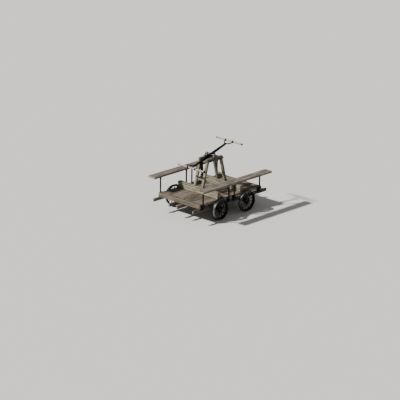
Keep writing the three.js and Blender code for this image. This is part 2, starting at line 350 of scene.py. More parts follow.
@dataclass(frozen=True)
class WeatheredTimber:
    """Sawn timber left outdoors for years: raised grain, open checks, silvered surface.

    The fibres run along the piece's own grain attribute, so a slanted leg has slanted grain.
    """

    name: str
    pale: str                    # silvered wood on the high fibres
    brown: str                   # warmer wood below them
    dark: str                    # dirt in the checks, and the colour of the painted shade patch
    fibre_mm: float = 9.0
    check_mm: float = 26.0
    stretch: float = 26.0
    checks: float = 0.75
    relief_mm: float = 1.6
    roughness: float = 0.88
    darkest: float = 0.68        # the darkest board of a row, against its finish
    lightest: float = 1.18       # the lightest board of a row
    grease_mm: float = 0.0       # how far out from the middle the painted shade patch reaches

    def build(self) -> Material:
        """Makes the material.

        Returns:
            A material that reads the attributes grain, tone and edge.
        """
        material, tree, shader = blank_material(self.name)
        pale, brown, dark = linear(self.pale), linear(self.brown), linear(self.dark)
        grain = attribute(tree, "grain", "Vector")
        tone, edge = attribute(tree, "tone"), attribute(tree, "edge")
        seed = maths(tree, "MULTIPLY", tone, 61.0)

        def streaks(width_mm: float, stretch: float, detail: float, rough: float) -> Socket:
            """Adds noise drawn out along the grain.

            Args:
                width_mm: a streak's width.
                stretch: its length in widths.
                detail: octaves of the noise.
                rough: how strong the finer octaves are.

            Returns:
                The noise.
            """
            place = along_grain(tree, grain, width_mm, stretch)
            return noise_of(tree, place, 1.0, detail, W=seed, Roughness=rough, Distortion=0.25)

        fibre = streaks(self.fibre_mm, self.stretch, 5.0, 0.7)
        broad = streaks(self.check_mm * 3.4, 3.0, 3.0, 0.55)
        split = streaks(self.check_mm, self.stretch * 0.62, 2.0, 0.5)
        crack = maths(tree, "MULTIPLY", cracks(tree, split, 0.004, 0.02, 1.0),
                      spread(tree, broad, 0.4, 0.62, 0.15, self.checks))

        colour = mixed(tree, spread(tree, fibre, 0.38, 0.6), brown, pale)
        colour = mixed(tree, spread(tree, broad, 0.38, 0.62, 0.0, 0.7), colour, brown)
        worn = maths(tree, "MULTIPLY", edge, spread(tree, fibre, 0.3, 0.7, 0.15, 0.6))
        colour = mixed(tree, worn, colour, pale)
        shade = spread(tree, tone, 0.0, 1.0, self.darkest, self.lightest)
        colour = mixed(tree, crack, brighter(tree, colour, shade), dark)
        # Painted shade: the boards round the middle of the deck are darkened where shade falls.
        if self.grease_mm:
            colour = mixed(tree, self.grease(tree, broad), colour, dark)

        rough = spread(tree, fibre, 0.2, 0.8, self.roughness + 0.08, self.roughness - 0.08)
        relief = maths(tree, "SUBTRACT", maths(tree, "MULTIPLY", fibre, 0.55), crack)
        surface(tree, shader, colour, rough, relief, self.relief_mm, 0.75)
        plug(tree, shader, {"Specular IOR Level": 0.25})
        return material

    def grease(self, tree: Tree, broad: Socket) -> Socket:
        """Painted shade: how dark the boards are painted in a patch round the middle, where shade
        falls on the deck.

        Args:
            tree: the material's tree.
            broad: the broad noise that breaks up the patch's edge.

        Returns:
            A socket, 0 outside the painted shade.
        """
        place = add(tree, "ShaderNodeTexCoord").outputs["Object"]
        flat = add(tree, "ShaderNodeVectorMath", {"operation": "MULTIPLY"},
                   {0: place, 1: (1.0, 0.55, 0.0)})
        away = add(tree, "ShaderNodeVectorMath", {"operation": "LENGTH"}, {0: flat})
        ragged = maths(tree, "MULTIPLY_ADD", broad, mm(240.0), away.outputs["Value"])
        reach = mm(self.grease_mm)
        return spread(tree, ragged, reach * 0.7, reach * 1.3, 0.5, 0.0)


@dataclass(frozen=True)
class EndGrain:
    """Sawn board ends: darker, with growth rings and drying checks across them."""

    name: str
    pale: str
    dark: str
    crack: str = "1a1612"
    ring_mm: float = 6.0

    def build(self) -> Material:
        """Makes the material.

        Returns:
            A material that reads the attributes grain and tone.
        """
        material, tree, shader = blank_material(self.name)
        grain, tone = attribute(tree, "grain", "Vector"), attribute(tree, "tone")
        place = add(tree, "ShaderNodeMapping", None,
                    {"Vector": grain, "Location": (0.0, 0.03, 0.06), "Scale": (0.0, 1.0, 1.0)})
        rings = add(tree, "ShaderNodeTexWave",
                    {"wave_type": "RINGS", "rings_direction": "X", "wave_profile": "SAW"},
                    {"Vector": place, "Scale": 0.31 / mm(self.ring_mm), "Distortion": 2.2,
                     "Detail": 3.0, "Detail Scale": 2.0,
                     "Phase Offset": maths(tree, "MULTIPLY", tone, 9.0)}).outputs[1]
        colour = mixed(tree, spread(tree, rings, 0.1, 0.9), linear(self.dark),
                       linear(self.pale))
        split = noise_of(tree, grain, 45.0, 3.0, W=maths(tree, "MULTIPLY", tone, 23.0))
        crack = cracks(tree, split, 0.0, 0.014, 0.85)
        colour = mixed(tree, crack, colour, linear(self.crack))
        relief = maths(tree, "SUBTRACT", maths(tree, "MULTIPLY", rings, 0.3), crack)
        surface(tree, shader, colour, 0.92, relief, 1.2, 0.6)
        return material


@dataclass(frozen=True)
class TurnedWood:
    """Ash bar polished by hands: fine straight grain, a low sheen, darker where it is gripped."""

    name: str
    pale: str
    dark: str
    fibre_mm: float = 5.0
    stretch: float = 30.0
    hand_mm: float = 160.0

    def build(self) -> Material:
        """Makes the material.

        Returns:
            A material that reads the attribute grain.
        """
        material, tree, shader = blank_material(self.name)
        pale, dark = linear(self.pale), linear(self.dark)
        grain = attribute(tree, "grain", "Vector")
        fibre = noise_of(tree, along_grain(tree, grain, self.fibre_mm, self.stretch), 1.0, 4.0,
                         Roughness=0.6)
        hands = noise_of(tree, grain, 1.0 / mm(self.hand_mm), 2.0)
        colour = mixed(tree, spread(tree, fibre, 0.32, 0.68), dark, pale)
        colour = mixed(tree, spread(tree, hands, 0.45, 0.7, 0.0, 0.45), colour, dark)
        surface(tree, shader, colour, spread(tree, hands, 0.35, 0.7, 0.55, 0.38), fibre, 0.5,
                0.35)
        return material


@dataclass(frozen=True)
class Iron:
    """Iron or steel with its skin: forged, cast or turned, oiled, with rust in patches."""

    name: str
    base: str
    rust: str = "4a3324"
    rough: float = 0.5
    rusting: float = 0.35
    grit_mm: float = 3.0
    patch_mm: float = 55.0
    relief_mm: float = 0.5

    def build(self) -> Material:
        """Makes the material.

        Returns:
            A material laid on in the piece's own coordinates.
        """
        material, tree, shader = blank_material(self.name)
        place = add(tree, "ShaderNodeTexCoord").outputs["Object"]
        grit = noise_of(tree, place, 1.0 / mm(self.grit_mm), 4.0, Roughness=0.65)
        patch = noise_of(tree, place, 1.0 / mm(self.patch_mm), 6.0, Roughness=0.68,
                         Distortion=0.4)
        rust = spread(tree, patch, 0.53, 0.68, 0.0, self.rusting)
        colour = mixed(tree, rust, linear(self.base), linear(self.rust))
        colour = brighter(tree, colour, spread(tree, grit, 0.3, 0.7, 0.82, 1.25))
        shine = maths(tree, "ADD", spread(tree, grit, 0.3, 0.7, -0.08, 0.08),
                      maths(tree, "MULTIPLY_ADD", rust, 0.4, self.rough))
        surface(tree, shader, colour, shine, grit, self.relief_mm, 0.5)
        plug(tree, shader, {"Metallic": spread(tree, rust, 0.0, 0.5, 1.0, 0.0)})
        return material


def made(kind: type, *colours: str, **options: float | str) -> Material:
    """A dataclass field that holds a finish, built with the palette.

    Args:
        kind: the finish's class.
        colours: its name and colours.
        options: its other fields.

    Returns:
        The field.
    """
    return field(default_factory=lambda: kind(*colours, **options).build())


@dataclass
class Palette:
    """Every finish on the handcar, built once."""

    # Sawn pine, walked on and rained on: silvered high fibres, brown below, and painted shade in
    # a dark patch round the middle.
    deck: Material = made(WeatheredTimber, "weathered_deck_pine", "85796b", "483d31", "120e0b",
                          darkest=0.56, grease_mm=260.0)
    # The same pine, finer grained and cleaner where people sit.
    bench: Material = made(WeatheredTimber, "weathered_bench_pine", "7f756c", "4a4038", "120f0c",
                           fibre_mm=8.0)
    # Sawn oak bleached by the sun, with many drying checks.
    frame: Material = made(WeatheredTimber, "bleached_frame_oak", "9d9680", "4c4636", "12100c",
                           fibre_mm=7.0, check_mm=20.0, checks=0.9)
    # The same oak painted darker: painted shade for the sills, joists and top bars.
    cap: Material = made(WeatheredTimber, "shade_darkened_oak", "6b665b", "3b372f", "14120f",
                         fibre_mm=7.0, check_mm=22.0, checks=0.95)
    # Turned ash, worn smooth by hands.
    handle: Material = made(TurnedWood, "hand_polished_ash", "aca190", "6d604f")
    # Ends cut by a coarse saw, with open rings.
    ends: Material = made(EndGrain, "sawn_end_grain", "a3967f", "5a4e3e")
    # Older cut ends, black with weather.
    old_ends: Material = made(EndGrain, "blackened_end_grain", "665e52", "2f2a23")
    # Hammered iron with oiled scale on it.
    iron: Material = made(Iron, "black_forged_iron", "1d1c1b", rough=0.6, rusting=0.25)
    # Rolled pipe with thin black mill scale.
    pipe: Material = made(Iron, "black_steel_pipe", "262625", rough=0.52, rusting=0.25,
                          grit_mm=2.5)
    # Iron cast in sand, so its skin is coarse.
    wheel: Material = made(Iron, "black_cast_wheel_iron", "232222", rough=0.52, rusting=0.3,
                           grit_mm=4.0, relief_mm=0.8)
    # The same iron rolled bright by the rail.
    tread: Material = made(Iron, "rail_worn_tread", "6d6a66", rough=0.3, rusting=0.15,
                           grit_mm=2.0, relief_mm=0.15)
    # Steel turned on a lathe and gone dull.
    steel: Material = made(Iron, "dull_turned_steel", "565553", rough=0.42, rusting=0.3,
                           grit_mm=2.0)
    # Faced steel, rubbed bright.
    bright: Material = made(Iron, "bright_steel_face", "9b9893", rough=0.28, rusting=0.12,
                            grit_mm=1.6, relief_mm=0.15)
    # Cast teeth under a coat of old grease.
    grease: Material = made(Iron, "greased_gear_iron", "1c1a18", rust="120e0a", rough=0.34,
                            rusting=0.6, grit_mm=3.5)


# ---------------------------------------------------------------- mesh helpers


def skin(bm: Mesh, rings: Sequence[Sequence[Vector]], loop: bool = False,
         material: int = 0) -> list[list[bmesh.types.BMVert]]:
    """Joins closed rings of points into a closed surface.

    Args:
        bm: the mesh to add to.
        rings: rings with the same number of points.
        loop: joins the last ring to the first; otherwise both are closed by a face.
        material: material index of the faces.

    Returns:
        The rings' vertices.
    """
    verts = [[bm.verts.new(p) for p in ring] for ring in rings]
    pairs = list(zip(verts, verts[1:]))
    if loop:
        pairs.append((verts[-1], verts[0]))
    for low, high in pairs:
        count = len(low)
        for i in range(count):
            j = (i + 1) % count
            face = bm.faces.new((low[i], low[j], high[j], high[i]))
            face.material_index = material
    if not loop:
        for ring in (verts[0], verts[-1]):
            bm.faces.new(ring).material_index = material
    return verts


def merge_into(bm: Mesh, extra: Mesh, material: int | None = None,
               place: Matrix | None = None) -> None:
    """Adds one mesh to another and frees it.

    Args:
        bm: the mesh that is added to.
        extra: the mesh that is added.
        material: material index for every face, or None to keep them.
        place: moves the added mesh first.
    """
    if place is not None:
        extra.transform(place)
    if material is not None:
        for face in extra.faces:
            face.material_index = material
    scratch = bpy.data.meshes.new("scratch")
    extra.to_mesh(scratch)
    extra.free()
    bm.from_mesh(scratch)
    bpy.data.meshes.remove(scratch)


def turned(bm: Mesh, profile: Sequence[Point], segments: int, material: int = 0,
           closed: bool = False, place: Matrix | None = None) -> None:
    """Turns a profile about the Y axis.

    Args:
        bm: the mesh to add to.
        profile: (radius, y) points, in metres; an open profile is closed by flat ends.
        segments: steps around.
        material: material index of the faces.
        closed: the profile is a closed outline that doesn't reach the axis.
        place: where the turned shape goes.
    """
    turn = [2.0 * math.pi * i / segments for i in range(segments)]
    rings = [[Vector((radius * math.cos(a), y, radius * math.sin(a))) for a in turn]
             for radius, y in profile]
    extra = bmesh.new()
    skin(extra, rings, loop=closed)
    merge_into(bm, extra, material, place)


def rod(bm: Mesh, radius: float, y0: float, y1: float, chamfer: float, segments: int,
        material: int = 0, place: Matrix | None = None) -> None:
    """Adds a round bar along Y with chamfered ends.

    Args:
        bm: the mesh to add to.
        radius: the bar's radius.
        y0: one end.
        y1: the other end.
        chamfer: width of the chamfer.
        segments: steps around.
        material: material index of the faces.
        place: where the bar goes.
    """
    c = chamfer
    turned(bm, [(radius - c, y0), (radius, y0 + c), (radius, y1 - c), (radius - c, y1)],
           segments, material, place=place)


def eye(bm: Mesh, bore: float, radius: float, half: float, chamfer: float, segments: int,
        place: Matrix) -> None:
    """Adds a ring about Y with chamfered rims.

    Args:
        bm: the mesh to add to.
        bore: radius of the hole.
        radius: outer radius.
        half: half the width.
        chamfer: width of the chamfer.
        segments: steps around.
        place: where the ring goes.
    """
    r, h = radius - chamfer, half - chamfer
    turned(bm, [(bore, -half), (r, -half), (radius, -h), (radius, h), (r, half), (bore, half)],
           segments, closed=True, place=place)


def slab(bm: Mesh, outline: Sequence[Point], y0: float, y1: float, bevel: float,
         place: Matrix | None = None) -> None:
    """Gives an outline in XZ thickness along Y, with its edges eased.

    Args:
        bm: the mesh to add to.
        outline: (x, z) points in order.
        y0: one face.
        y1: the other face.
        bevel: width of the eased edge.
        place: where the slab goes.
    """
    extra = bmesh.new()
    skin(extra, [[Vector((x, y, z)) for x, z in outline] for y in sorted((y0, y1))])
    bmesh.ops.recalc_face_normals(extra, faces=extra.faces)
    sharp = [edge for edge in extra.edges if edge.calc_face_angle(0.0) > 0.5]
    bmesh.ops.bevel(extra, geom=sharp, offset=bevel, segments=2, profile=0.6, affect="EDGES",
                    clamp_overlap=True)
    merge_into(bm, extra, 0, place)


def rectangle(x0: float, x1: float, z0: float, z1: float) -> list[Point]:
    """Lists the corners of a rectangle.

    Args:
        x0: first coordinate of one side.
        x1: first coordinate of the opposite side.
        z0: second coordinate of the first corners.
        z1: second coordinate of the last corners.

    Returns:
        The corners, in order.
    """
    return [(x0, z0), (x1, z0), (x1, z1), (x0, z1)]


def arc(cx: float, cz: float, radius: float, start: float, stop: float,
        steps: int) -> list[Point]:
    """Points along an arc, with both ends.

    Args:
        cx: first coordinate of the centre.
        cz: second coordinate of the centre.
        radius: the radius.
        start: first angle, in degrees.
        stop: last angle, in degrees.
        steps: steps between them.

    Returns:
        The points.
    """
    angles = [math.radians(start + (stop - start) * i / steps) for i in range(steps + 1)]
    return [(cx + radius * math.cos(a), cz + radius * math.sin(a)) for a in angles]


def at(x: float, y: float, z: float) -> Matrix:
    """Makes a move to a place.

    Args:
        x: the place along the track.
        y: the place across it.
        z: the height.

    Returns:
        The matrix.
    """
    return Matrix.Translation((x, y, z))


def centre_of(node: str) -> Vector:
    """Finds the middle of a CAD node's box.

    Args:
        node: the CAD node.

    Returns:
        The middle.
    """
    low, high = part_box(node)
    return (low + high) / 2.0


def new_object(name: str, data: bpy.types.ID) -> Object:
    """Makes an object and links it to the scene.

    Args:
        name: the object's name.
        data: its mesh, light or camera.

    Returns:
        The object.
    """
    obj = bpy.data.objects.new(name, data)
    bpy.context.scene.collection.objects.link(obj)
    return obj


def finish_mesh(bm: Mesh, name: str, materials: Sequence[Material]) -> Object:
    """Turns a bmesh into an object at the origin, merged, facing outwards and shaded.

    Args:
        bm: the mesh, which is freed.
        name: the piece's name.
        materials: its material slots.

    Returns:
        The object.
    """
    bmesh.ops.remove_doubles(bm, verts=bm.verts, dist=1e-6)
    bmesh.ops.recalc_face_normals(bm, faces=bm.faces)
    mesh = bpy.data.meshes.new(name)
    bm.to_mesh(mesh)
    bm.free()
    for material in materials:
        mesh.materials.append(material)
    mesh.polygons.foreach_set("use_smooth", [True] * len(mesh.polygons))
    mesh.set_sharp_from_angle(angle=math.radians(38.0))
    return new_object(name, mesh)


def install(obj: Object, body: str, slot: str, *nodes: str) -> None:
    """Rides a finished piece on its body and reports it.

    Args:
        obj: the piece, at the origin.
        body: the CAD body it moves with.
        slot: not used.
        nodes: the CAD nodes it stands for.
    """
    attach(obj, body)
    if nodes:
        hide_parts(*nodes)
    LOG.info("%s on %s: %d faces", obj.name, body, len(obj.data.polygons))


@dataclass
class Timber:
    """A sawn timber between two ends, with worn corners and a surface that isn't quite flat."""

    start: Vector
    end: Vector
    across: Vector           # half the width
    upward: Vector           # half the depth
    seed: int = 0
    corner: float = mm(5)
    wander: float = mm(0.9)
    chip: float = mm(5)
    step: float = mm(55)
    worn_ends: float = mm(5)

    def section(self) -> list[tuple[float, float, float, float, float]]:
        """Lays out the section.

        Returns:
            Points round it: x, y, outward x, outward y, and how much of a corner each is.
        """
        a, b = self.across.length, self.upward.length
        r = min(self.corner, a * 0.5, b * 0.5)
        points = []
        for turn, (sx, sy) in enumerate([(1, 1), (-1, 1), (-1, -1), (1, -1)]):
            for degrees, weight in ((0.0, 0.55), (45.0, 1.0), (90.0, 0.55)):
                angle = math.radians(90.0 * turn + degrees)
                nx, ny = math.cos(angle), math.sin(angle)
                points.append((sx * (a - r) + r * nx, sy * (b - r) + r * ny, nx, ny, weight))
            span = 2.0 * ((a - r) if turn % 2 == 0 else (b - r))
            x, y, nx, ny, _ = points[-1]
            count = max(1, round(span / mm(30)))
            for i in range(1, count):
                shift = span * i / count
                points.append((x - ny * shift, y + nx * shift, nx, ny, 0.0))
        return points

    def stations(self, length: float) -> list[Point]:
        """Places the sections along the timber.

        Args:
            length: the timber's length.

        Returns:
            Distance from the start, and how far the section is worn in, of each.
        """
        count = max(3, round(length / self.step))
        ease = min(self.worn_ends, length * 0.1)
        first = [(0.0, ease), (ease * 0.35, ease * 0.35), (ease, 0.0)]
        last = [(length - distance, inset) for distance, inset in reversed(first)]
        return first + [(length * i / count, 0.0) for i in range(1, count)] + last

    def mesh(self) -> Mesh:
        """Builds the timber.

        Returns:
            A bmesh with the attributes grain, tone and edge; ends have material index 1.
        """
        bm = bmesh.new()
        dice = random.Random(self.seed)
        tone = dice.random()
        shift = Vector((dice.uniform(0, 9), dice.uniform(0, 9), dice.uniform(0, 9)))
        length = (self.end - self.start).length
        ux, uy = self.across.normalized(), self.upward.normalized()
        along = (self.end - self.start) / length
        stations, section = self.stations(length), self.section()
        ease = stations[0][1]
        rings, data = [], []
        for distance, inset in stations:
            ring = []
            for x, y, nx, ny, weight in section:
                spot = Vector((distance, x, y)) + shift
                ripple = 0.5 + 0.5 * noise.noise(Vector((spot.x * 5, spot.y * 22, spot.z * 22)))
                rough = noise.noise(Vector((spot.x * 17, spot.y * 3, spot.z * 3)))
                loss = self.wander * ripple + inset
                loss += weight * self.chip * max(0.0, rough - 0.12)
                px, py = x - nx * loss, y - ny * loss
                ring.append(self.start + along * distance + ux * px + uy * py)
                data.append((spot, max(weight, min(1.0, inset / ease))))
            rings.append(ring)
        grain = bm.verts.layers.float_vector.new("grain")
        edge = bm.verts.layers.float.new("edge")
        toned = bm.verts.layers.float.new("tone")
        verts = skin(bm, rings)
        bm.faces.ensure_lookup_table()
        for face in bm.faces[-2:]:
            face.material_index = 1
        for vert, (spot, weight) in zip((v for ring in verts for v in ring), data):
            vert[grain] = spot
            vert[edge] = weight
            vert[toned] = tone
        return bm


def timber_between(low: Vector, high: Vector, axis: int, seed: int,
                   **options: float) -> Timber:
    """A timber that fills the box between two corners.

    Args:
        low: one corner.
        high: the opposite corner.
        axis: 0, 1 or 2 for the direction of the grain.
        seed: seed of its wear.
        options: other fields of Timber.

    Returns:
        The timber.
    """
    centre, half = (low + high) / 2.0, (high - low) / 2.0
    unit = (X, Y, Z)
    a, b = [(1, 2), (2, 0), (0, 1)][axis]
    reach = unit[axis] * half[axis]
    return Timber(centre - reach, centre + reach, unit[a] * half[a], unit[b] * half[b], seed,
                  **options)


def timber_in(node: str, axis: int, seed: int, **options: float) -> Timber:
    """A timber that fills a CAD node's box.

    Args:
        node: the CAD node.
        axis: 0, 1 or 2 for the direction of the grain.
        seed: seed of its wear.
        options: other fields of Timber.

    Returns:
        The timber.
    """
    low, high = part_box(node)
    return timber_between(low, high, axis, seed, **options)


# ---------------------------------------------------------------- geometry node trees


def new_tree(name: str, **sockets: str) -> tuple[Tree, bpy.types.NodeOutputs]:
    """Starts a Geometry Nodes tree with named inputs.

    Args:
        name: the tree's name.
        sockets: input name, with _ for a space, to socket type, after the geometry itself.

    Returns:
        The tree and the sockets of its inputs.
    """
    tree = bpy.data.node_groups.new(name, "GeometryNodeTree")
    for way in ("OUTPUT", "INPUT"):
        tree.interface.new_socket("Geometry", in_out=way, socket_type="NodeSocketGeometry")
    for label, kind in sockets.items():
        tree.interface.new_socket(label.replace("_", " "), in_out="INPUT",
                                  socket_type="NodeSocket" + kind)
    return tree, add(tree, "NodeGroupInput").outputs


def geometry(tree: Tree, kind: str, source: object, **inputs: object) -> Node:
    """Adds a node that changes geometry.

    Args:
        tree: the tree.
        kind: the node's type name, without its first part.
        source: the geometry.
        inputs: its other inputs.

    Returns:
        The node.
    """
    return add(tree, "GeometryNode" + kind, None, {"Geometry": source, **inputs})


def joined(tree: Tree, *sources: object) -> Node:
    """Joins geometry.

    Args:
        tree: the tree.
        sources: what is joined.

    Returns:
        The node.
    """
    join = add(tree, "GeometryNodeJoinGeometry")
    for source in sources:
        plug(tree, join, {0: source})
    return join


def end_tree(tree: Tree, source: Node, material: Socket | None = None) -> None:
    """Ends a tree with Realize Instances and, if there is a material, Set Material.

    Args:
        tree: the tree.
        source: the geometry.
        material: the material's socket.
    """
    real = geometry(tree, "RealizeInstances", source)
    if material is not None:
        real = geometry(tree, "SetMaterial", real, Material=material)
    add(tree, "NodeGroupOutput", None, {"Geometry": real})


def run_tree(obj: Object, tree: Tree, values: dict) -> None:
    """Runs a tree on an object and keeps the plain mesh that it makes.

    Args:
        obj: the object, whose mesh is replaced.
        tree: the Geometry Nodes tree.
        values: input name to value.
    """
    modifier = obj.modifiers.new("repeat", "NODES")
    modifier.node_group = tree
    for item in tree.interface.items_tree:
        if item.item_type == "SOCKET" and item.in_out == "INPUT" and item.name in values:
            modifier[item.identifier] = values[item.name]
    graph = bpy.context.evaluated_depsgraph_get()
    graph.update()
    mesh = bpy.data.meshes.new_from_object(obj.evaluated_get(graph),
                                           preserve_all_data_layers=True, depsgraph=graph)
    obj.modifiers.remove(modifier)
    obj.data = mesh


def fastener_tree() -> Tree:
    """A bolt at each point of the mesh, facing along the attribute facing.

    Returns:
        A tree that takes the sizes of a Bolt, Seed and Material.
    """
    tree, out = new_tree("bolts_on_points", Sides="Int", Head_Radius="Float",
                         Head_Height="Float", Washer_Radius="Float", Washer_Height="Float",
                         Stud_Radius="Float", Stud_Height="Float", Seed="Int",
                         Material="Material")

    def drum(sides: object, name: str, below: object) -> Node:
        """Adds a cylinder along Z.

        Args:
            sides: its sides.
            name: first word of the inputs that size it.
            below: the height it stands on.

        Returns:
            The node.
        """
        height = out[name + " Height"]
        body = add(tree, "GeometryNodeMeshCylinder", None,
                   {"Vertices": sides, "Radius": out[name + " Radius"], "Depth": height})
        lift = maths(tree, "MULTIPLY_ADD", height, 0.5, below)
        return geometry(tree, "Transform", body,
                        Translation=add(tree, "ShaderNodeCombineXYZ", None, {"Z": lift}))

    washer = drum(20, "Washer", 0.0)
    head = drum(out["Sides"], "Head", out["Washer Height"])
    stud = drum(12, "Stud", out["Washer Height"])
    facing = add(tree, "GeometryNodeInputNamedAttribute", {"data_type": "FLOAT_VECTOR"},
                 {"Name": "facing"})
    aim = add(tree, "FunctionNodeAlignRotationToVector", {"axis": "Z"}, {"Vector": facing})
    angle = add(tree, "FunctionNodeRandomValue", {"data_type": "FLOAT"},
                {2: 0.0, 3: math.pi / 3.0, "Seed": out["Seed"]})
    spin = add(tree, "FunctionNodeAxisAngleToRotation", None,
               {"Axis": (0.0, 0.0, 1.0), "Angle": angle.outputs[1]})
    turn = add(tree, "FunctionNodeRotateRotation", {"rotation_space": "LOCAL"},
               {"Rotation": aim, "Rotate By": spin})
    copies = add(tree, "GeometryNodeInstanceOnPoints", None,
                 {"Points": out["Geometry"], "Instance": joined(tree, stud, head, washer),
                  "Rotation": turn})
    end_tree(tree, copies, out["Material"])
    return tree


def board_tree() -> Tree:
    """Copies one board along a line, each copy worn in its own way.

    Returns:
        A tree with inputs Count, Step, Wear, Slip and Seed; the board keeps its materials.
    """
    tree, out = new_tree("board_row", Count="Int", Step="Vector", Wear="Float", Slip="Vector",
                         Seed="Int")
    line = add(tree, "GeometryNodeMeshLine", {"mode": "OFFSET"},
               {"Count": out["Count"], "Offset": out["Step"]})
    slip = add(tree, "FunctionNodeRandomValue", {"data_type": "FLOAT_VECTOR"},
               {0: (0.0, 0.0, 0.0), 1: out["Slip"], "Seed": out["Seed"]})
    copies = add(tree, "GeometryNodeInstanceOnPoints", None,
                 {"Points": geometry(tree, "SetPosition", line, Offset=slip),
                  "Instance": out["Geometry"]})
    tone = add(tree, "FunctionNodeRandomValue", {"data_type": "FLOAT"},
               {2: 0.0, 3: 1.0, "Seed": out["Seed"]})
    toned = add(tree, "GeometryNodeStoreNamedAttribute",
                {"data_type": "FLOAT", "domain": "INSTANCE"},
                {"Geometry": copies, "Name": "tone", "Value": tone.outputs[1]})
    own = add(tree, "GeometryNodeInputNamedAttribute", {"data_type": "FLOAT"}, {"Name": "tone"})
    stretch = add(tree, "ShaderNodeVectorMath", {"operation": "MULTIPLY"},
                  {0: add(tree, "GeometryNodeInputPosition"), 1: (4.0, 14.0, 14.0)})
    rough = noise_of(tree, stretch, 1.0, 2.0, W=maths(tree, "MULTIPLY", own, 50.0))
    inward = add(tree, "ShaderNodeVectorMath", {"operation": "SCALE"},
                 {0: add(tree, "GeometryNodeInputNormal"),
                  "Scale": maths(tree, "MULTIPLY", rough, out["Wear"])})
    negative = add(tree, "ShaderNodeVectorMath", {"operation": "SCALE"},
                   {0: inward, "Scale": -1.0})
    real = geometry(tree, "RealizeInstances", toned)
    end_tree(tree, geometry(tree, "SetPosition", real, Offset=negative))
    return tree


def spoke_tree() -> Tree:
    """Tapered round spokes about the Y axis, joined to the rim and hub.

    Returns:
        A tree with inputs Count, Inner Radius, Outer Radius, Hub Thickness, Rim Thickness,
        Offset and Material.
    """
    tree, out = new_tree("wheel_spokes", Count="Int", Inner_Radius="Float",
                         Outer_Radius="Float", Hub_Thickness="Float", Rim_Thickness="Float",
                         Offset="Float", Material="Material")
    span = maths(tree, "SUBTRACT", out["Outer Radius"], out["Inner Radius"])
    cone = add(tree, "GeometryNodeMeshCone", None,
               {"Vertices": 16, "Side Segments": 4, "Radius Top": out["Rim Thickness"],
                "Radius Bottom": out["Hub Thickness"], "Depth": span})
    lift = add(tree, "ShaderNodeCombineXYZ", None,
               {"Y": out["Offset"], "Z": out["Inner Radius"]})
    line = add(tree, "GeometryNodeMeshLine", {"mode": "OFFSET"},
               {"Count": out["Count"], "Offset": (0.0, 0.0, 0.0)})
    half = maths(tree, "ADD", add(tree, "GeometryNodeInputIndex"), 0.5)
    pitch = maths(tree, "DIVIDE", 2.0 * math.pi, out["Count"])
    turn = add(tree, "FunctionNodeAxisAngleToRotation", None,
               {"Axis": (0.0, 1.0, 0.0), "Angle": maths(tree, "MULTIPLY", half, pitch)})
    copies = add(tree, "GeometryNodeInstanceOnPoints", None,
                 {"Points": line, "Instance": geometry(tree, "Transform", cone, Translation=lift),
                  "Rotation": turn})
    real = geometry(tree, "RealizeInstances", copies)
    smooth = geometry(tree, "SetShadeSmooth", real)
    painted = geometry(tree, "SetMaterial", smooth, Material=out["Material"])
    end_tree(tree, joined(tree, painted, out["Geometry"]))
    return tree


@dataclass
class Trees:
    """The Geometry Nodes trees, built once."""

    bolts: Tree = field(default_factory=fastener_tree)
    boards: Tree = field(default_factory=board_tree)
    spokes: Tree = field(default_factory=spoke_tree)


# ---------------------------------------------------------------- what sub-assemblies share


@dataclass(frozen=True)
class Bolt:
    """Sizes of one kind of bolt, in millimetres."""

    sides: int = 6
    head: float = 11.0
    height: float = 9.0
    washer: float = 15.0
    washer_height: float = 2.5
    stud: float = 6.0
    stud_height: float = 15.0


NUT = Bolt()
SMALL_NUT = Bolt(head=8.5, height=7.0, washer=12.0, stud=4.5, stud_height=10.0)
NAIL = Bolt(sides=12, head=5.0, height=0.8, washer=5.2, washer_height=0.4, stud=1.0,
            stud_height=0.2)
CARRIAGE_HEAD = Bolt(sides=20, head=11.0, height=2.4, washer=13.0, washer_height=1.4, stud=6.5,
                     stud_height=3.8)


@dataclass(frozen=True)
class BoardRow:
    """A CAD node filled with equal boards side by side."""

    node: str
    name: str
    grain: int               # axis of the boards' length
    along: int               # axis of the row
    count: int
    gap: float
    wear: float
    slip: float = 0.0        # how far a board may have sunk

    @property
    def pitch(self) -> float:
        """From one board to the next."""
        low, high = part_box(self.node)
        return (high[self.along] - low[self.along] + self.gap) / self.count


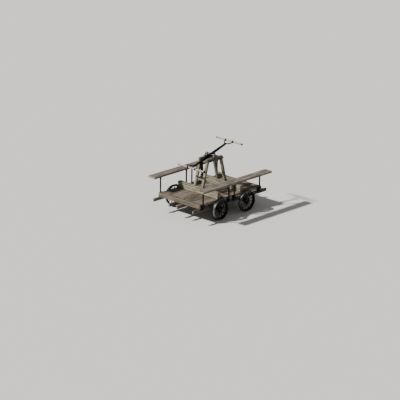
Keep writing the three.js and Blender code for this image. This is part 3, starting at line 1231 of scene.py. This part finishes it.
@dataclass
class Maker:
    """What every sub-assembly needs: the frame's nodes and joints, the finishes, the trees."""

    paint: Palette
    trees: Trees
    nodes: dict[str, Object]
    joints: dict[str, Vector]

    def build(self) -> None:
        """Builds the pieces that stand for CAD nodes."""

    def dress(self) -> None:
        """Adds the small fittings, where there are any."""

    def wood(self, timber: Timber, node: str, finish: Material, slot: str,
             ends: Material | None = None) -> None:
        """Builds one timber that stands for a CAD node.

        Args:
            timber: the timber.
            node: the CAD node it replaces.
            finish: finish of its sides.
            slot: the record's material slot.
            ends: finish of its cut ends, pale sawn ends if left out.
        """
        obj = finish_mesh(timber.mesh(), f"{node}_timber", [finish, ends or self.paint.ends])
        install(obj, "chassis", slot, node)

    def board_row(self, row: BoardRow, finish: Material, slot: str, seed: int,
                  **options: float) -> None:
        """Builds a row of boards as one piece.

        Args:
            row: how the boards lie.
            finish: finish of their sides.
            slot: the record's material slot.
            seed: seed of their wear.
            options: other fields of Timber.
        """
        low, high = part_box(row.node)
        high[row.along] = low[row.along] + row.pitch - row.gap
        bm = timber_between(low, high, row.grain, seed, **options).mesh()
        bm.verts.layers.float.remove(bm.verts.layers.float["tone"])
        obj = finish_mesh(bm, row.name, [finish, self.paint.ends])
        step = (X, Y, Z)[row.along] * row.pitch
        run_tree(obj, self.trees.boards, {
            "Count": row.count, "Step": tuple(step), "Wear": row.wear,
            "Slip": (0.0, 0.0, -row.slip), "Seed": seed})
        install(obj, "chassis", slot, row.node)

    def fasten(self, name: str, kind: Bolt, spots: Sequence[Spot], seed: int) -> None:
        """Puts an iron bolt at each spot of the chassis, as one piece.

        Args:
            name: the piece's name.
            kind: the bolt's sizes.
            spots: (place, outward direction) of each bolt.
            seed: seed of how each is turned.
        """
        mesh = bpy.data.meshes.new(name)
        mesh.from_pydata([tuple(place) for place, _ in spots], [], [])
        facing = mesh.attributes.new("facing", "FLOAT_VECTOR", "POINT")
        for i, (_, direction) in enumerate(spots):
            facing.data[i].vector = direction
        obj = new_object(name, mesh)
        run_tree(obj, self.trees.bolts, {
            "Sides": kind.sides, "Head Radius": mm(kind.head), "Head Height": mm(kind.height),
            "Washer Radius": mm(kind.washer), "Washer Height": mm(kind.washer_height),
            "Stud Radius": mm(kind.stud), "Stud Height": mm(kind.stud_height), "Seed": seed,
            "Material": self.paint.iron})
        install(obj, "chassis", "black_iron")


# ---------------------------------------------------------------- sub-assemblies


@dataclass
class Underframe(Maker):
    """Sills that end as lifting handles, joists, and the bearings hung under them."""

    seed: int = 100
    bolt_inset: float = mm(22)

    def build(self) -> None:
        """Builds the sills and joists."""
        # Sills and joists take the cap finish: the oak painted darker, as painted shade on their
        # sides.
        for number, side in enumerate(Side):
            for kind in ("side_sill", "inner_sill"):
                node = f"{kind}_{side.word}"
                timber = timber_in(node, 0, self.seed + number * 7 + len(kind), corner=mm(7),
                                   worn_ends=mm(9))
                self.wood(timber, node, self.paint.cap, "frame_wood")
        for number, end in enumerate(End):
            node = f"joist_{end.word}"
            self.wood(timber_in(node, 1, self.seed + 40 + number), node, self.paint.cap,
                      "frame_wood")

    def dress(self) -> None:
        """Puts nuts under the bearings and bolts through the end beams into the sills."""
        spots, heads = [], []
        for side in Side:
            for end in End:
                low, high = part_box(f"axle_box_{end.word}_{side.word}")
                for x in (low.x + self.bolt_inset, high.x - self.bolt_inset):
                    spots.append((Vector((x, (low.y + high.y) / 2, high.z - mm(12))), -Z))
        self.fasten("bearing_nuts", NUT, spots, 3)
        for end in End:
            x, top = centre_of(f"end_beam_{end.word}").x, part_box(f"end_beam_{end.word}")[1].z
            for side in Side:
                for kind in ("side_sill", "inner_sill"):
                    heads.append((Vector((x, centre_of(f"{kind}_{side.word}").y, top)), Z))
        self.fasten("sill_bolt_heads", CARRIAGE_HEAD, heads, 5)


@dataclass
class Deck(Maker):
    """The plank deck: boards along the track between two cross beams."""

    seed: int = 7
    boards_a_side: int = 4
    nail_inset: float = mm(24)

    def row(self, side: Side) -> BoardRow:
        """Lays out the boards of one side.

        Args:
            side: which side.

        Returns:
            The row.
        """
        return BoardRow(f"deck_planks_{side.word}", f"deck_boards_{side.word}", 0, 1,
                        self.boards_a_side, gap=mm(3), wear=mm(2.4), slip=mm(3))

    def build(self) -> None:
        """Builds the boards, the middle boards and the end beams."""
        for number, side in enumerate(Side):
            self.board_row(self.row(side), self.paint.deck, "deck_wood", self.seed + 31 * number,
                           corner=mm(4), wander=mm(0.4))
        for number, end in enumerate(End):
            node = f"middle_plank_{end.word}"
            self.wood(timber_in(node, 0, self.seed + 3 + number), node, self.paint.deck,
                      "deck_wood")
            node = f"end_beam_{end.word}"
            timber = timber_in(node, 1, self.seed + 9 + number, corner=mm(8), chip=mm(9))
            self.wood(timber, node, self.paint.deck, "deck_wood")

    def dress(self) -> None:
        """Nails the boards down over the joists, two to a board."""
        spots = []
        for side in Side:
            row = self.row(side)
            low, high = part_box(row.node)
            lines = [centre_of(f"joist_{end.word}").x for end in End]
            lines += [low.x + self.nail_inset, high.x - self.nail_inset]
            for x in lines:
                for i in range(self.boards_a_side):
                    for share in (0.25, 0.75):
                        y = low.y + row.pitch * (i + share)
                        spots.append((Vector((x, y, high.z - mm(2.0))), Z))
        self.fasten("deck_nails", NAIL, spots, 11)


@dataclass
class AFrame(Maker):
    """Bolsters, legs, rungs and top bars that carry the walking beam."""

    seed: int = 300
    layers: int = 4
    tie_r: float = mm(7)
    tie_inset: float = mm(105)

    def build(self) -> None:
        """Builds every timber of the frame."""
        for number, end in enumerate(End):
            row = BoardRow(f"bolster_{end.word}", f"bolster_boards_{end.word}", 1, 2,
                           self.layers, gap=mm(3), wear=mm(2))
            self.board_row(row, self.paint.frame, "frame_wood", self.seed + number,
                           corner=mm(8), wander=mm(0.3))
            for place, side in enumerate(Side):
                foot, top, half = self.leg_axis(end, side)
                timber = Timber(foot, top, X * half, Y * half,
                                self.seed + 10 + 3 * number + place, corner=mm(6),
                                worn_ends=mm(2))
                self.wood(timber, f"leg_{end.word}_{side.word}", self.paint.frame, "frame_wood")
            self.build_rung(end, self.seed + 20 + number)
        # The top bars take the cap finish: the oak painted darker, as painted shade.
        for number, side in enumerate(Side):
            node = f"top_bar_{side.word}"
            self.wood(timber_in(node, 0, self.seed + 30 + number, corner=mm(7)), node,
                      self.paint.cap, "frame_wood", self.paint.old_ends)

    def leg_axis(self, end: End, side: Side) -> tuple[Vector, Vector, float]:
        """Finds a leg's line.

        Args:
            end: which end it stands towards.
            side: which side it is on.

        Returns:
            The middle of its foot and of its top, and half its width.
        """
        low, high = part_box(f"leg_{end.word}_{side.word}")
        half = (high.y - low.y) / 2.0
        y = (low.y + high.y) / 2.0
        foot_x, top_x = low.x + half, high.x - half
        if end is End.RIGHT:
            foot_x, top_x = top_x, foot_x
        return Vector((foot_x, y, low.z)), Vector((top_x, y, high.z)), half

    def build_rung(self, end: End, seed: int) -> None:
        """Builds a rung between two legs, leaning with them.

        Args:
            end: which pair of legs.
            seed: seed of its wear.
        """
        node = f"rung_{end.word}"
        low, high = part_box(node)
        foot, top, _ = self.leg_axis(end, Side.NEAR)
        lean = (top - foot).normalized()
        rise = lean * ((high.z - low.z) / 2.0 / lean.z)
        thick = (high.x - low.x) / 2.0 - abs(rise.x)
        centre = (low + high) / 2.0
        reach = Y * (high.y - low.y) / 2.0
        timber = Timber(centre - reach, centre + reach, rise, X * thick, seed, corner=mm(3))
        self.wood(timber, node, self.paint.frame, "frame_wood")

    def dress(self) -> None:
        """Adds the bolts through legs and rungs, and the tie rods under the top bars."""
        spots = []
        for end in End:
            rung_z = centre_of(f"rung_{end.word}").z
            for side in Side:
                foot, top, half = self.leg_axis(end, side)
                for z in (foot.z + mm(34), rung_z, top.z - mm(30)):
                    on_leg = foot.lerp(top, (z - foot.z) / (top.z - foot.z))
                    spots.append((on_leg + Y * side.value * half, Y * side.value))
        self.fasten("leg_nuts", SMALL_NUT, spots, 21)
        self.tie_rods()

    def tie_rods(self) -> None:
        """Adds two rods that draw the top bars together."""
        bm = bmesh.new()
        low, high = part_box("top_bar_near")
        far_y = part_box("top_bar_far")[1].y
        z = low.z + mm(20)
        spots = []
        for sign in (-1, 1):
            x = sign * (high.x - self.tie_inset)
            rod(bm, self.tie_r, low.y - mm(1), far_y + mm(1), mm(1.5), 16, place=at(x, 0.0, z))
            spots += [(Vector((x, low.y, z)), -Y), (Vector((x, far_y, z)), Y)]
        install(finish_mesh(bm, "tie_rods", [self.paint.iron]), "chassis", "black_iron")
        self.fasten("tie_rod_nuts", NUT, spots, 23)


@dataclass
class Benches(Maker):
    """Two bench boards on pipe posts, each with a foot plate, two clips and an arm."""

    seed: int = 500
    posts_a_side: int = 4
    pipe_r: float = mm(17.5)
    pipe_wall: float = mm(4)
    pipe_out: float = mm(23.7)       # from the deck's edge to the pipe's middle
    arm_reach: float = mm(200)
    plate_height: float = mm(132)
    plate_corner: float = mm(12)

    def build(self) -> None:
        """Builds the boards and the posts."""
        for number, side in enumerate(Side):
            node = f"bench_{side.word}"
            timber = timber_in(node, 0, self.seed + number, corner=mm(7), chip=mm(8),
                               worn_ends=mm(8))
            self.wood(timber, node, self.paint.bench, "bench_wood")
            for count in range(1, self.posts_a_side + 1):
                self.build_post(f"post_{side.word}_{count}", side)

    def build_post(self, node: str, side: Side) -> None:
        """Builds a pipe post.

        Args:
            node: the CAD node.
            side: the side it stands on.
        """
        low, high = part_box(node)
        s, r = side.value, self.pipe_r
        x = (low.x + high.x) / 2.0
        inner = low.y if s > 0 else -high.y
        pipe_y = inner + self.pipe_out
        bm = bmesh.new()
        foot, top, hollow = low.z + mm(28), high.z - mm(3), r - self.pipe_wall
        turned(bm, [(hollow, foot), (r, foot), (r, top), (hollow, top)], 28, closed=True,
               place=at(x, s * pipe_y, 0) @ Matrix.Rotation(QUARTER, 4, "X"))
        wide, plate_top = (high.x - low.x) / 2.0, low.z + self.plate_height
        corner = self.plate_corner
        outline = []
        for cx, cz, start in ((wide, plate_top, 0), (-wide, plate_top, 90), (-wide, low.z, 180),
                              (wide, low.z, 270)):
            ox = x + cx - math.copysign(corner, cx)
            oz = cz - corner if cz == plate_top else cz + corner
            outline += arc(ox, oz, corner, start, start + 90, 4)
        slab(bm, outline, s * inner, s * (inner + mm(7)), mm(1.2))
        half = r + mm(3)
        for z in (low.z + mm(44), plate_top - mm(26)):
            slab(bm, rectangle(x - half, x + half, z - mm(9), z + mm(9)), s * inner,
                 s * (pipe_y + r + mm(4)), mm(3))
        self.build_arm(bm, x, s, inner, high.z)
        install(finish_mesh(bm, f"{node}_pipe", [self.paint.pipe]), "chassis", "black_iron",
                node)

    def build_arm(self, bm: Mesh, x: float, s: int, inner: float, top: float) -> None:
        """Adds the flat arm, its rib and its collar.

        Args:
            bm: the post's mesh.
            x: where the post stands along the track.
            s: -1 on the near side, 1 on the far side.
            inner: how far out the deck's edge is.
            top: how high the arm's top is.
        """
        outer = inner + self.arm_reach
        slab(bm, rectangle(x - mm(21), x + mm(21), top - mm(7), top), s * (inner + mm(4)),
             s * outer, mm(1.2))
        root, tip = inner + mm(38), outer - mm(12)
        rib = [(root, top - mm(4)), (root, top - mm(11.6)), (tip, top - mm(9)),
               (tip, top - mm(4))]
        slab(bm, rib, -mm(3), mm(3), mm(0.8),
             at(x, 0, 0) @ Matrix.Rotation(QUARTER * s, 4, "Z"))
        turned(bm, points_mm((18, -26), (23, -24), (23, -8), (18, -6)), 28, closed=True,
               place=at(x, s * (inner + self.pipe_out), top) @ Matrix.Rotation(QUARTER, 4, "X"))

    def dress(self) -> None:
        """Bolts the foot plates, and puts carriage bolts through the benches."""
        feet, heads = [], []
        for side in Side:
            s = side.value
            seat_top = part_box(f"bench_{side.word}")[1].z
            for count in range(1, self.posts_a_side + 1):
                low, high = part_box(f"post_{side.word}_{count}")
                face = high.y if s < 0 else low.y
                x = (low.x + high.x) / 2.0
                for dx in (-mm(40), mm(40)):
                    for z in (low.z + mm(22), low.z + mm(108)):
                        feet.append((Vector((x + dx, face + s * mm(7), z)), Y * s))
                for dy in (mm(50), mm(160)):
                    heads.append((Vector((x, face + s * dy, seat_top - mm(1.5))), Z))
        self.fasten("foot_plate_nuts", NUT, feet, 41)
        self.fasten("bench_bolt_heads", CARRIAGE_HEAD, heads, 43)


@dataclass
class Wheelset(Maker):
    """An axle with two spoked wheels; radii and widths in millimetres."""

    name: str = "drive"
    flange_r: float = 249.6
    tread_r: float = 227.6
    rim_in: float = 202.0
    hub_r: float = 44.0
    bore_r: float = 22.2
    hub_back: float = 30.0
    hub_front: float = 97.5
    width: float = 72.0
    spokes: int = 12

    @property
    def body(self) -> str:
        """The CAD body."""
        return f"{self.name}_wheelset"

    def build(self) -> None:
        """Builds the axle and both wheels."""
        node = f"{self.name}_axle"
        low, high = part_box(node)
        r = (high.x - low.x) / 2.0 - mm(0.1)
        bm = bmesh.new()
        rod(bm, r, low.y, high.y, mm(3), 40)
        for end in (low.y, high.y):
            s = math.copysign(1.0, end)
            turned(bm, [(r - mm(0.2), end - s * mm(3.2)), (r - mm(3.2), end - s * mm(0.1)),
                        (mm(4), end - s * mm(0.1)), (mm(1), end - s * mm(3))], 40, 1)
        centre = centre_of(node)
        bm.transform(at(centre.x, 0, centre.z))
        obj = finish_mesh(bm, f"{self.name}_axle_bar", [self.paint.steel, self.paint.bright])
        install(obj, self.body, "steel", node)
        for side in Side:
            self.build_wheel(side)

    def build_wheel(self, side: Side) -> None:
        """Builds a wheel: turned rim and hub, then its spokes.

        Args:
            side: the side it stands on.
        """
        node = f"{self.name}_wheel_{side.word}"
        low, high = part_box(node)
        f, t, rim, hub, bore = self.flange_r, self.tread_r, self.rim_in, self.hub_r, self.bore_r
        back, front, width, mid = self.hub_back, self.hub_front, self.width, self.width / 2.0
        flange = arc(f - 6.5, 9, 6.5, -80, 80, 8)
        bm = bmesh.new()
        turned(bm, points_mm(
            (rim + 3, 0.3), (f - 9, 0.3), *flange, (f - 9, 18), (t + 3, 23), (t + 0.6, 27),
            (t - 2.6, width - 4), (t - 5, width - 0.5), (rim + 4, width - 0.5),
            (rim + 0.4, width - 5), (rim + 1.5, mid + 16), (rim - 3, mid + 8),
            (rim - 3, mid - 8), (rim + 1.5, mid - 16), (rim + 0.4, 4)), 112, closed=True)
        for face in bm.faces:
            spot = face.calc_center_median()
            if math.hypot(spot.x, spot.z) > mm(t - 4) and spot.y > mm(22):
                face.material_index = 1
        turned(bm, points_mm(
            (bore, -back), (hub - 5, -back), (hub - 1, 4 - back), (hub - 1, mid - 20),
            (hub + 2, mid - 13), (hub + 2, mid + 13), (hub - 1, mid + 22), (hub - 4, front - 22),
            (hub - 11, front - 4), (hub - 14, front), (bore, front)), 64, closed=True)
        obj = finish_mesh(bm, f"{node}_spoked", [self.paint.wheel, self.paint.tread])
        run_tree(obj, self.trees.spokes, {
            "Count": self.spokes, "Inner Radius": mm(hub - 6), "Outer Radius": mm(rim + 3),
            "Hub Thickness": mm(12.6), "Rim Thickness": mm(9.4), "Offset": mm(mid),
            "Material": self.paint.wheel})
        centre = (low + high) / 2.0
        if side is Side.FAR:
            place = at(centre.x, low.y + mm(back), centre.z)
        else:
            place = at(centre.x, high.y - mm(back), centre.z) @ Matrix.Rotation(math.pi, 4, "X")
        obj.data.transform(place)
        install(obj, self.body, "wheel_iron", node)


@dataclass
class WalkingBeam(Maker):
    """The rocking beam with its forks, shaft and T-bars, built level and then tipped."""

    body: str = "walking_beam"
    fork_x: float = mm(505)
    bar_x: float = mm(630)
    fork_r: float = mm(110)
    iron_r: float = mm(10.5)         # half the fork's thickness
    grip_r: float = mm(18.9)
    neck_r: float = mm(16.4)
    pin_x: float = 0.0
    place: Matrix = field(default_factory=Matrix)

    def build(self) -> None:
        """Builds every piece that rocks."""
        pivot, pin = self.joints["beam_rock"], self.joints["rod_swing"]
        tilt = math.atan2(pivot.z - pin.z, pivot.x - pin.x)
        self.place = Matrix.Translation(pivot) @ Matrix.Rotation(-tilt, 4, "Y")
        self.pin_x = -(pin - pivot).length
        self.build_beam()
        self.build_shaft()
        for end in End:
            self.build_bar(end)

    def build_beam(self) -> None:
        """Builds the forged beam and its two forks."""
        bm = bmesh.new()
        mid, tip, half, waist = mm(31.5), mm(21.5), mm(13.8), mm(60)
        x = self.fork_x + mm(6)
        outline = [(-x, -tip), (-waist, -mid), (waist, -mid), (x, -tip), (x, tip),
                   (waist, mid), (-waist, mid), (-x, tip)]
        slab(bm, outline, -half, half, mm(3.5))
        for turn in (math.pi, 0.0):
            self.build_fork(bm, Matrix.Rotation(turn, 4, "Z"))
        eye(bm, mm(16.4), mm(37.5), mm(29.5), mm(3), 48, at(0.0, 0, 0))
        eye(bm, mm(12.4), mm(25), mm(15.5), mm(3), 48, at(self.pin_x, 0, 0))
        bm.transform(self.place)
        install(finish_mesh(bm, "beam_forging", [self.paint.iron]), self.body, "black_iron",
                "walking_beam")

    def build_fork(self, bm: Mesh, turn: Matrix) -> None:
        """Adds a horseshoe fork with an eye at each tip.

        Args:
            bm: the beam's mesh.
            turn: turns it towards its end.
        """
        steps = 16
        path = [(self.bar_x, -self.fork_r),
                *arc(self.fork_x + self.fork_r, 0.0, self.fork_r, 270, 90, 28),
                (self.bar_x, self.fork_r)]
        rings = []
        for i, (px, py) in enumerate(path):
            before, after = path[max(0, i - 1)], path[min(len(path) - 1, i + 1)]
            ahead = Vector((after[0] - before[0], after[1] - before[1], 0)).normalized()
            out = Vector((ahead.y, -ahead.x, 0))
            swell = 1.0 + 0.22 * math.exp(-(py / mm(38)) ** 2)
            ring = []
            for k in range(steps):
                angle = 2 * math.pi * k / steps
                flat, tall = (math.copysign(abs(v) ** 0.5, v) * self.iron_r
                              for v in (math.cos(angle), math.sin(angle)))
                ring.append(Vector((px, py, 0)) + out * flat + Z * tall * swell)
            rings.append(ring)
        fork = bmesh.new()
        skin(fork, rings)
        for y in (-self.fork_r, self.fork_r):
            eye(fork, mm(19.6), mm(30.5), mm(11.5), mm(2.5), 40, at(self.bar_x, y, 0))
        merge_into(bm, fork, 0, turn)

    def build_shaft(self) -> None:
        """Builds the pivot shaft."""
        bm = bmesh.new()
        low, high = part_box("pivot_shaft")
        rod(bm, mm(15.9), low.y, high.y, mm(2), 40)
        bm.transform(self.place)
        install(finish_mesh(bm, "pivot_shaft_bar", [self.paint.steel]), self.body, "steel",
                "pivot_shaft")

    def build_bar(self, end: End) -> None:
        """Builds a T-bar: a turned wooden grip with iron ferrules and collars.

        Args:
            end: which end of the beam it is on.
        """
        node = f"t_bar_{end.word}"
        low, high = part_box(node)
        half, r, neck, steps = (high.y - low.y) / 2.0, self.grip_r, self.neck_r, 40
        profile = []
        for i in range(steps + 1):
            y = -half + mm(20) + (2 * half - mm(40)) * i / steps
            grip = math.exp(-((abs(y) - mm(250)) / mm(80)) ** 2)
            profile.append((r - (r - neck) * 0.55 * grip, y))
        bm = bmesh.new()
        turned(bm, profile, 32)
        grain = bm.verts.layers.float_vector.new("grain")
        for vert in bm.verts:
            vert[grain] = Vector((vert.co.y, vert.co.x, vert.co.z)) + X * end.value
        for s in (-1, 1):
            turned(bm, [(neck, s * (half - mm(34))), (r, s * (half - mm(33))),
                        (r, s * (half - mm(4))), (r - mm(2), s * (half - mm(1))),
                        (r - mm(6), s * half)], 32, 1)
            for y in (self.fork_r - mm(16), self.fork_r + mm(16)):
                turned(bm, points_mm((17, -3.6), (23, -3), (23, 3), (17, 3.6)), 32, 1,
                       closed=True, place=at(0, s * y, 0))
        bm.transform(self.place @ at(end.value * self.bar_x, 0, 0))
        install(finish_mesh(bm, f"{node}_grip", [self.paint.handle, self.paint.iron]),
                self.body, "handle_wood", node)


@dataclass
class PillowBlocks(Maker):
    """Split bearings for the pivot shaft on the top bars."""

    base: float = mm(15)
    cap_bolt_x: float = mm(42)

    def build(self) -> None:
        """Builds both bearings with their caps."""
        pivot_z = self.joints["beam_rock"].z
        for side in Side:
            node = f"pillow_block_{side.word}"
            low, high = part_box(node)
            bm = bmesh.new()
            wide, base = (high.x - low.x) / 2.0, low.z + self.base
            outline = [(-wide, low.z), (wide, low.z), (wide, base), (wide - mm(34), base),
                       *arc(0, pivot_z, mm(37), -8, 188, 28), (-wide + mm(34), base),
                       (-wide, base)]
            slab(bm, outline, low.y + mm(1), high.y - mm(1), mm(3))
            for y0, y1 in ((low.y, low.y + mm(5)), (high.y - mm(5), high.y)):
                turned(bm, rectangle(mm(17), mm(28), y0, y1), 40, closed=True,
                       place=at(0, 0, pivot_z))
            for x0, x1 in points_mm((-50, -33), (33, 50)):
                slab(bm, rectangle(x0, x1, pivot_z - mm(14), pivot_z + mm(10)),
                     low.y + mm(8), high.y - mm(8), mm(2))
            install(finish_mesh(bm, f"{node}_casting", [self.paint.steel]), "chassis", "steel",
                    node)

    def dress(self) -> None:
        """Adds the base nuts and the cap nuts."""
        cap_top = self.joints["beam_rock"].z + mm(10)
        spots, caps = [], []
        for side in Side:
            low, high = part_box(f"pillow_block_{side.word}")
            y = (low.y + high.y) / 2.0
            for s in (-1, 1):
                spots.append((Vector((s * (high.x - mm(17)), y, low.z + self.base)), Z))
                caps.append((Vector((s * self.cap_bolt_x, y, cap_top)), Z))
        self.fasten("bearing_base_nuts", NUT, spots, 61)
        self.fasten("bearing_cap_nuts", SMALL_NUT, caps, 63)


@dataclass
class ConnectingRod(Maker):
    """The rod from the beam to the crank, with a strap at each side of the beam."""

    body: str = "connecting_rod"
    big_end: float = mm(34)          # from the crank pin's middle to the rod's foot

    def build(self) -> None:
        """Builds the rod in its own line and then tips it."""
        pin = self.joints["rod_swing"]
        low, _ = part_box("connecting_rod")
        foot = Vector((self.joints["crank_spin"].x, 0.0, low.z + self.big_end))
        tilt = -math.atan2(foot.x - pin.x, pin.z - foot.z)
        bm = bmesh.new()
        strap = [*arc(0, 0, mm(22), 0, 180, 12),
                 *points_mm((-20, -255), (-12, -284), (12, -284), (20, -255))]
        for s in (-1, 1):
            slab(bm, strap, s * mm(17.2), s * mm(26.8), mm(1.6))
        slab(bm, rectangle(-mm(19), mm(19), -mm(232), -mm(284)), -mm(17.4), mm(17.4), mm(1.5))
        self.add_turned(bm, (foot - pin).length)
        bm.transform(Matrix.Translation(pin) @ Matrix.Rotation(tilt, 4, "Y"))
        install(finish_mesh(bm, "connecting_rod_forging", [self.paint.iron, self.paint.steel]),
                self.body, "black_iron", "connecting_rod")

    def add_turned(self, bm: Mesh, length: float) -> None:
        """Adds the round shank, the pins and the big end.

        Args:
            bm: the rod's mesh.
            length: from pin to pin.
        """
        shank = [*points_mm((17, 280), (15, 292), (13.6, 320)),
                 (mm(13.6), length - mm(70)), (mm(15.5), length - mm(48)),
                 (mm(16), length - mm(28))]
        turned(bm, shank, 24, place=Matrix.Rotation(-QUARTER, 4, "X"))
        rod(bm, mm(11.8), -mm(33.5), mm(33.5), mm(1.5), 24, 1)
        low = at(0, 0, -length)
        eye(bm, mm(14), mm(33.5), mm(15.5), mm(2.5), 40, low)
        rod(bm, mm(13.9), -mm(19.5), mm(26.8), mm(1.5), 24, 1, low)


@dataclass
class Running(Maker):
    """Gear, shafts and bearings that keep their CAD shape or a turned copy of it."""

    def build(self) -> None:
        """Builds the crankshaft, and finishes the CAD nodes that stay."""
        low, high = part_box("crankshaft")
        centre = (low + high) / 2.0
        bm = bmesh.new()
        rod(bm, (high.x - low.x) / 2.0 - mm(0.1), low.y, high.y, mm(2), 32,
            place=at(centre.x, 0, centre.z))
        install(finish_mesh(bm, "crankshaft_bar", [self.paint.steel]), "crank", "steel",
                "crankshaft")
        boxes = [f"axle_box_{end.word}_{side.word}" for side in Side for end in End]
        for material, nodes in (
                (self.paint.grease, ["bull_gear", "drive_pinion"]),
                (self.paint.iron, ["crank_bearing_inner", "crank_bearing_outer", *boxes])):
            for node in nodes:
                mesh = self.nodes[node].data
                mesh.materials.clear()
                mesh.materials.append(material)


# ---------------------------------------------------------------- stage


@dataclass
class Stage:
    """A plain pale floor, soft light, and the camera."""

    azimuth: float = -46.47
    elevation: float = 18.46
    roll: float = 0.69
    distance: float = 53.92
    lens: float = 219.924            # millimetres
    sensor: float = 36.0             # the sensor's width, in millimetres
    target: tuple[float, float, float] = (-0.322, 0.0, 0.270)
    floor_size: float = 400.0

    def build(self) -> None:
        """Builds the stage."""
        self.floor()
        self.lights()
        self.camera()

    def floor(self) -> None:
        """Lays the floor."""
        half = self.floor_size / 2.0
        mesh = bpy.data.meshes.new("floor")
        corners = [(x, y, 0) for x, y in rectangle(-half, half, -half, half)]
        mesh.from_pydata(corners, [], [(0, 1, 2, 3)])
        # Evenly rolled matt board: one colour, no relief.
        material, tree, shader = blank_material("pale_floor")
        plug(tree, shader, {"Base Color": linear("c9c7c3"), "Roughness": 0.95})
        mesh.materials.append(material)
        new_object("floor", mesh)

    def lights(self) -> None:
        """Adds a soft key from the left end and above, a fill, and a pale sky."""
        for name, energy, angle, direction in (
                ("key", 7.4, 3.0, (-0.72, 0.46, 0.72)), ("fill", 0.05, 60.0, (0.3, -1.0, 0.6))):
            lamp = bpy.data.lights.new(name, "SUN")
            lamp.energy = energy
            lamp.angle = math.radians(angle)
            turn = Vector(direction).to_track_quat("Z", "Y").to_euler()
            new_object(name, lamp).rotation_euler = turn
        world = bpy.data.worlds.new("pale_sky")
        world.use_nodes = True
        plug(world.node_tree, world.node_tree.nodes["Background"],
             {"Color": linear("f2f3f4"), "Strength": 0.33})
        bpy.context.scene.world = world

    def camera(self) -> None:
        """Places the camera with a long lens."""
        a, e, r = (math.radians(v) for v in (self.azimuth, self.elevation, self.roll))
        back = Vector((math.sin(a) * math.cos(e), -math.cos(a) * math.cos(e), math.sin(e)))
        right = Vector((math.cos(a), math.sin(a), 0.0))
        up = back.cross(right)
        rolled_right = right * math.cos(r) + up * math.sin(r)
        rolled_up = up * math.cos(r) - right * math.sin(r)
        data = bpy.data.cameras.new("camera")
        data.sensor_width = self.sensor
        data.lens = self.lens
        data.clip_end = 500.0
        obj = new_object("camera", data)
        turn = Matrix((rolled_right, rolled_up, back)).transposed().to_4x4()
        obj.matrix_world = Matrix.Translation(Vector(self.target) + back * self.distance) @ turn
        bpy.context.scene.camera = obj


def main() -> None:
    """Builds the handcar around the frame, sub-assembly by sub-assembly."""
    logging.basicConfig(level=logging.INFO, format="%(name)s: %(message)s")
    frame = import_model()
    joints = {joint["name"]: Vector(joint["pos_m"]) for joint in frame["joints"]}
    kit = (Palette(), Trees(), frame["nodes"], joints)
    Stage().build()
    for maker in (Underframe(*kit), Deck(*kit), AFrame(*kit), Benches(*kit), Running(*kit),
                  Wheelset(*kit, name="drive"), Wheelset(*kit, name="idler"),
                  WalkingBeam(*kit), PillowBlocks(*kit), ConnectingRod(*kit)):
        maker.build()
        maker.dress()


if __name__ == "__main__":
    main()
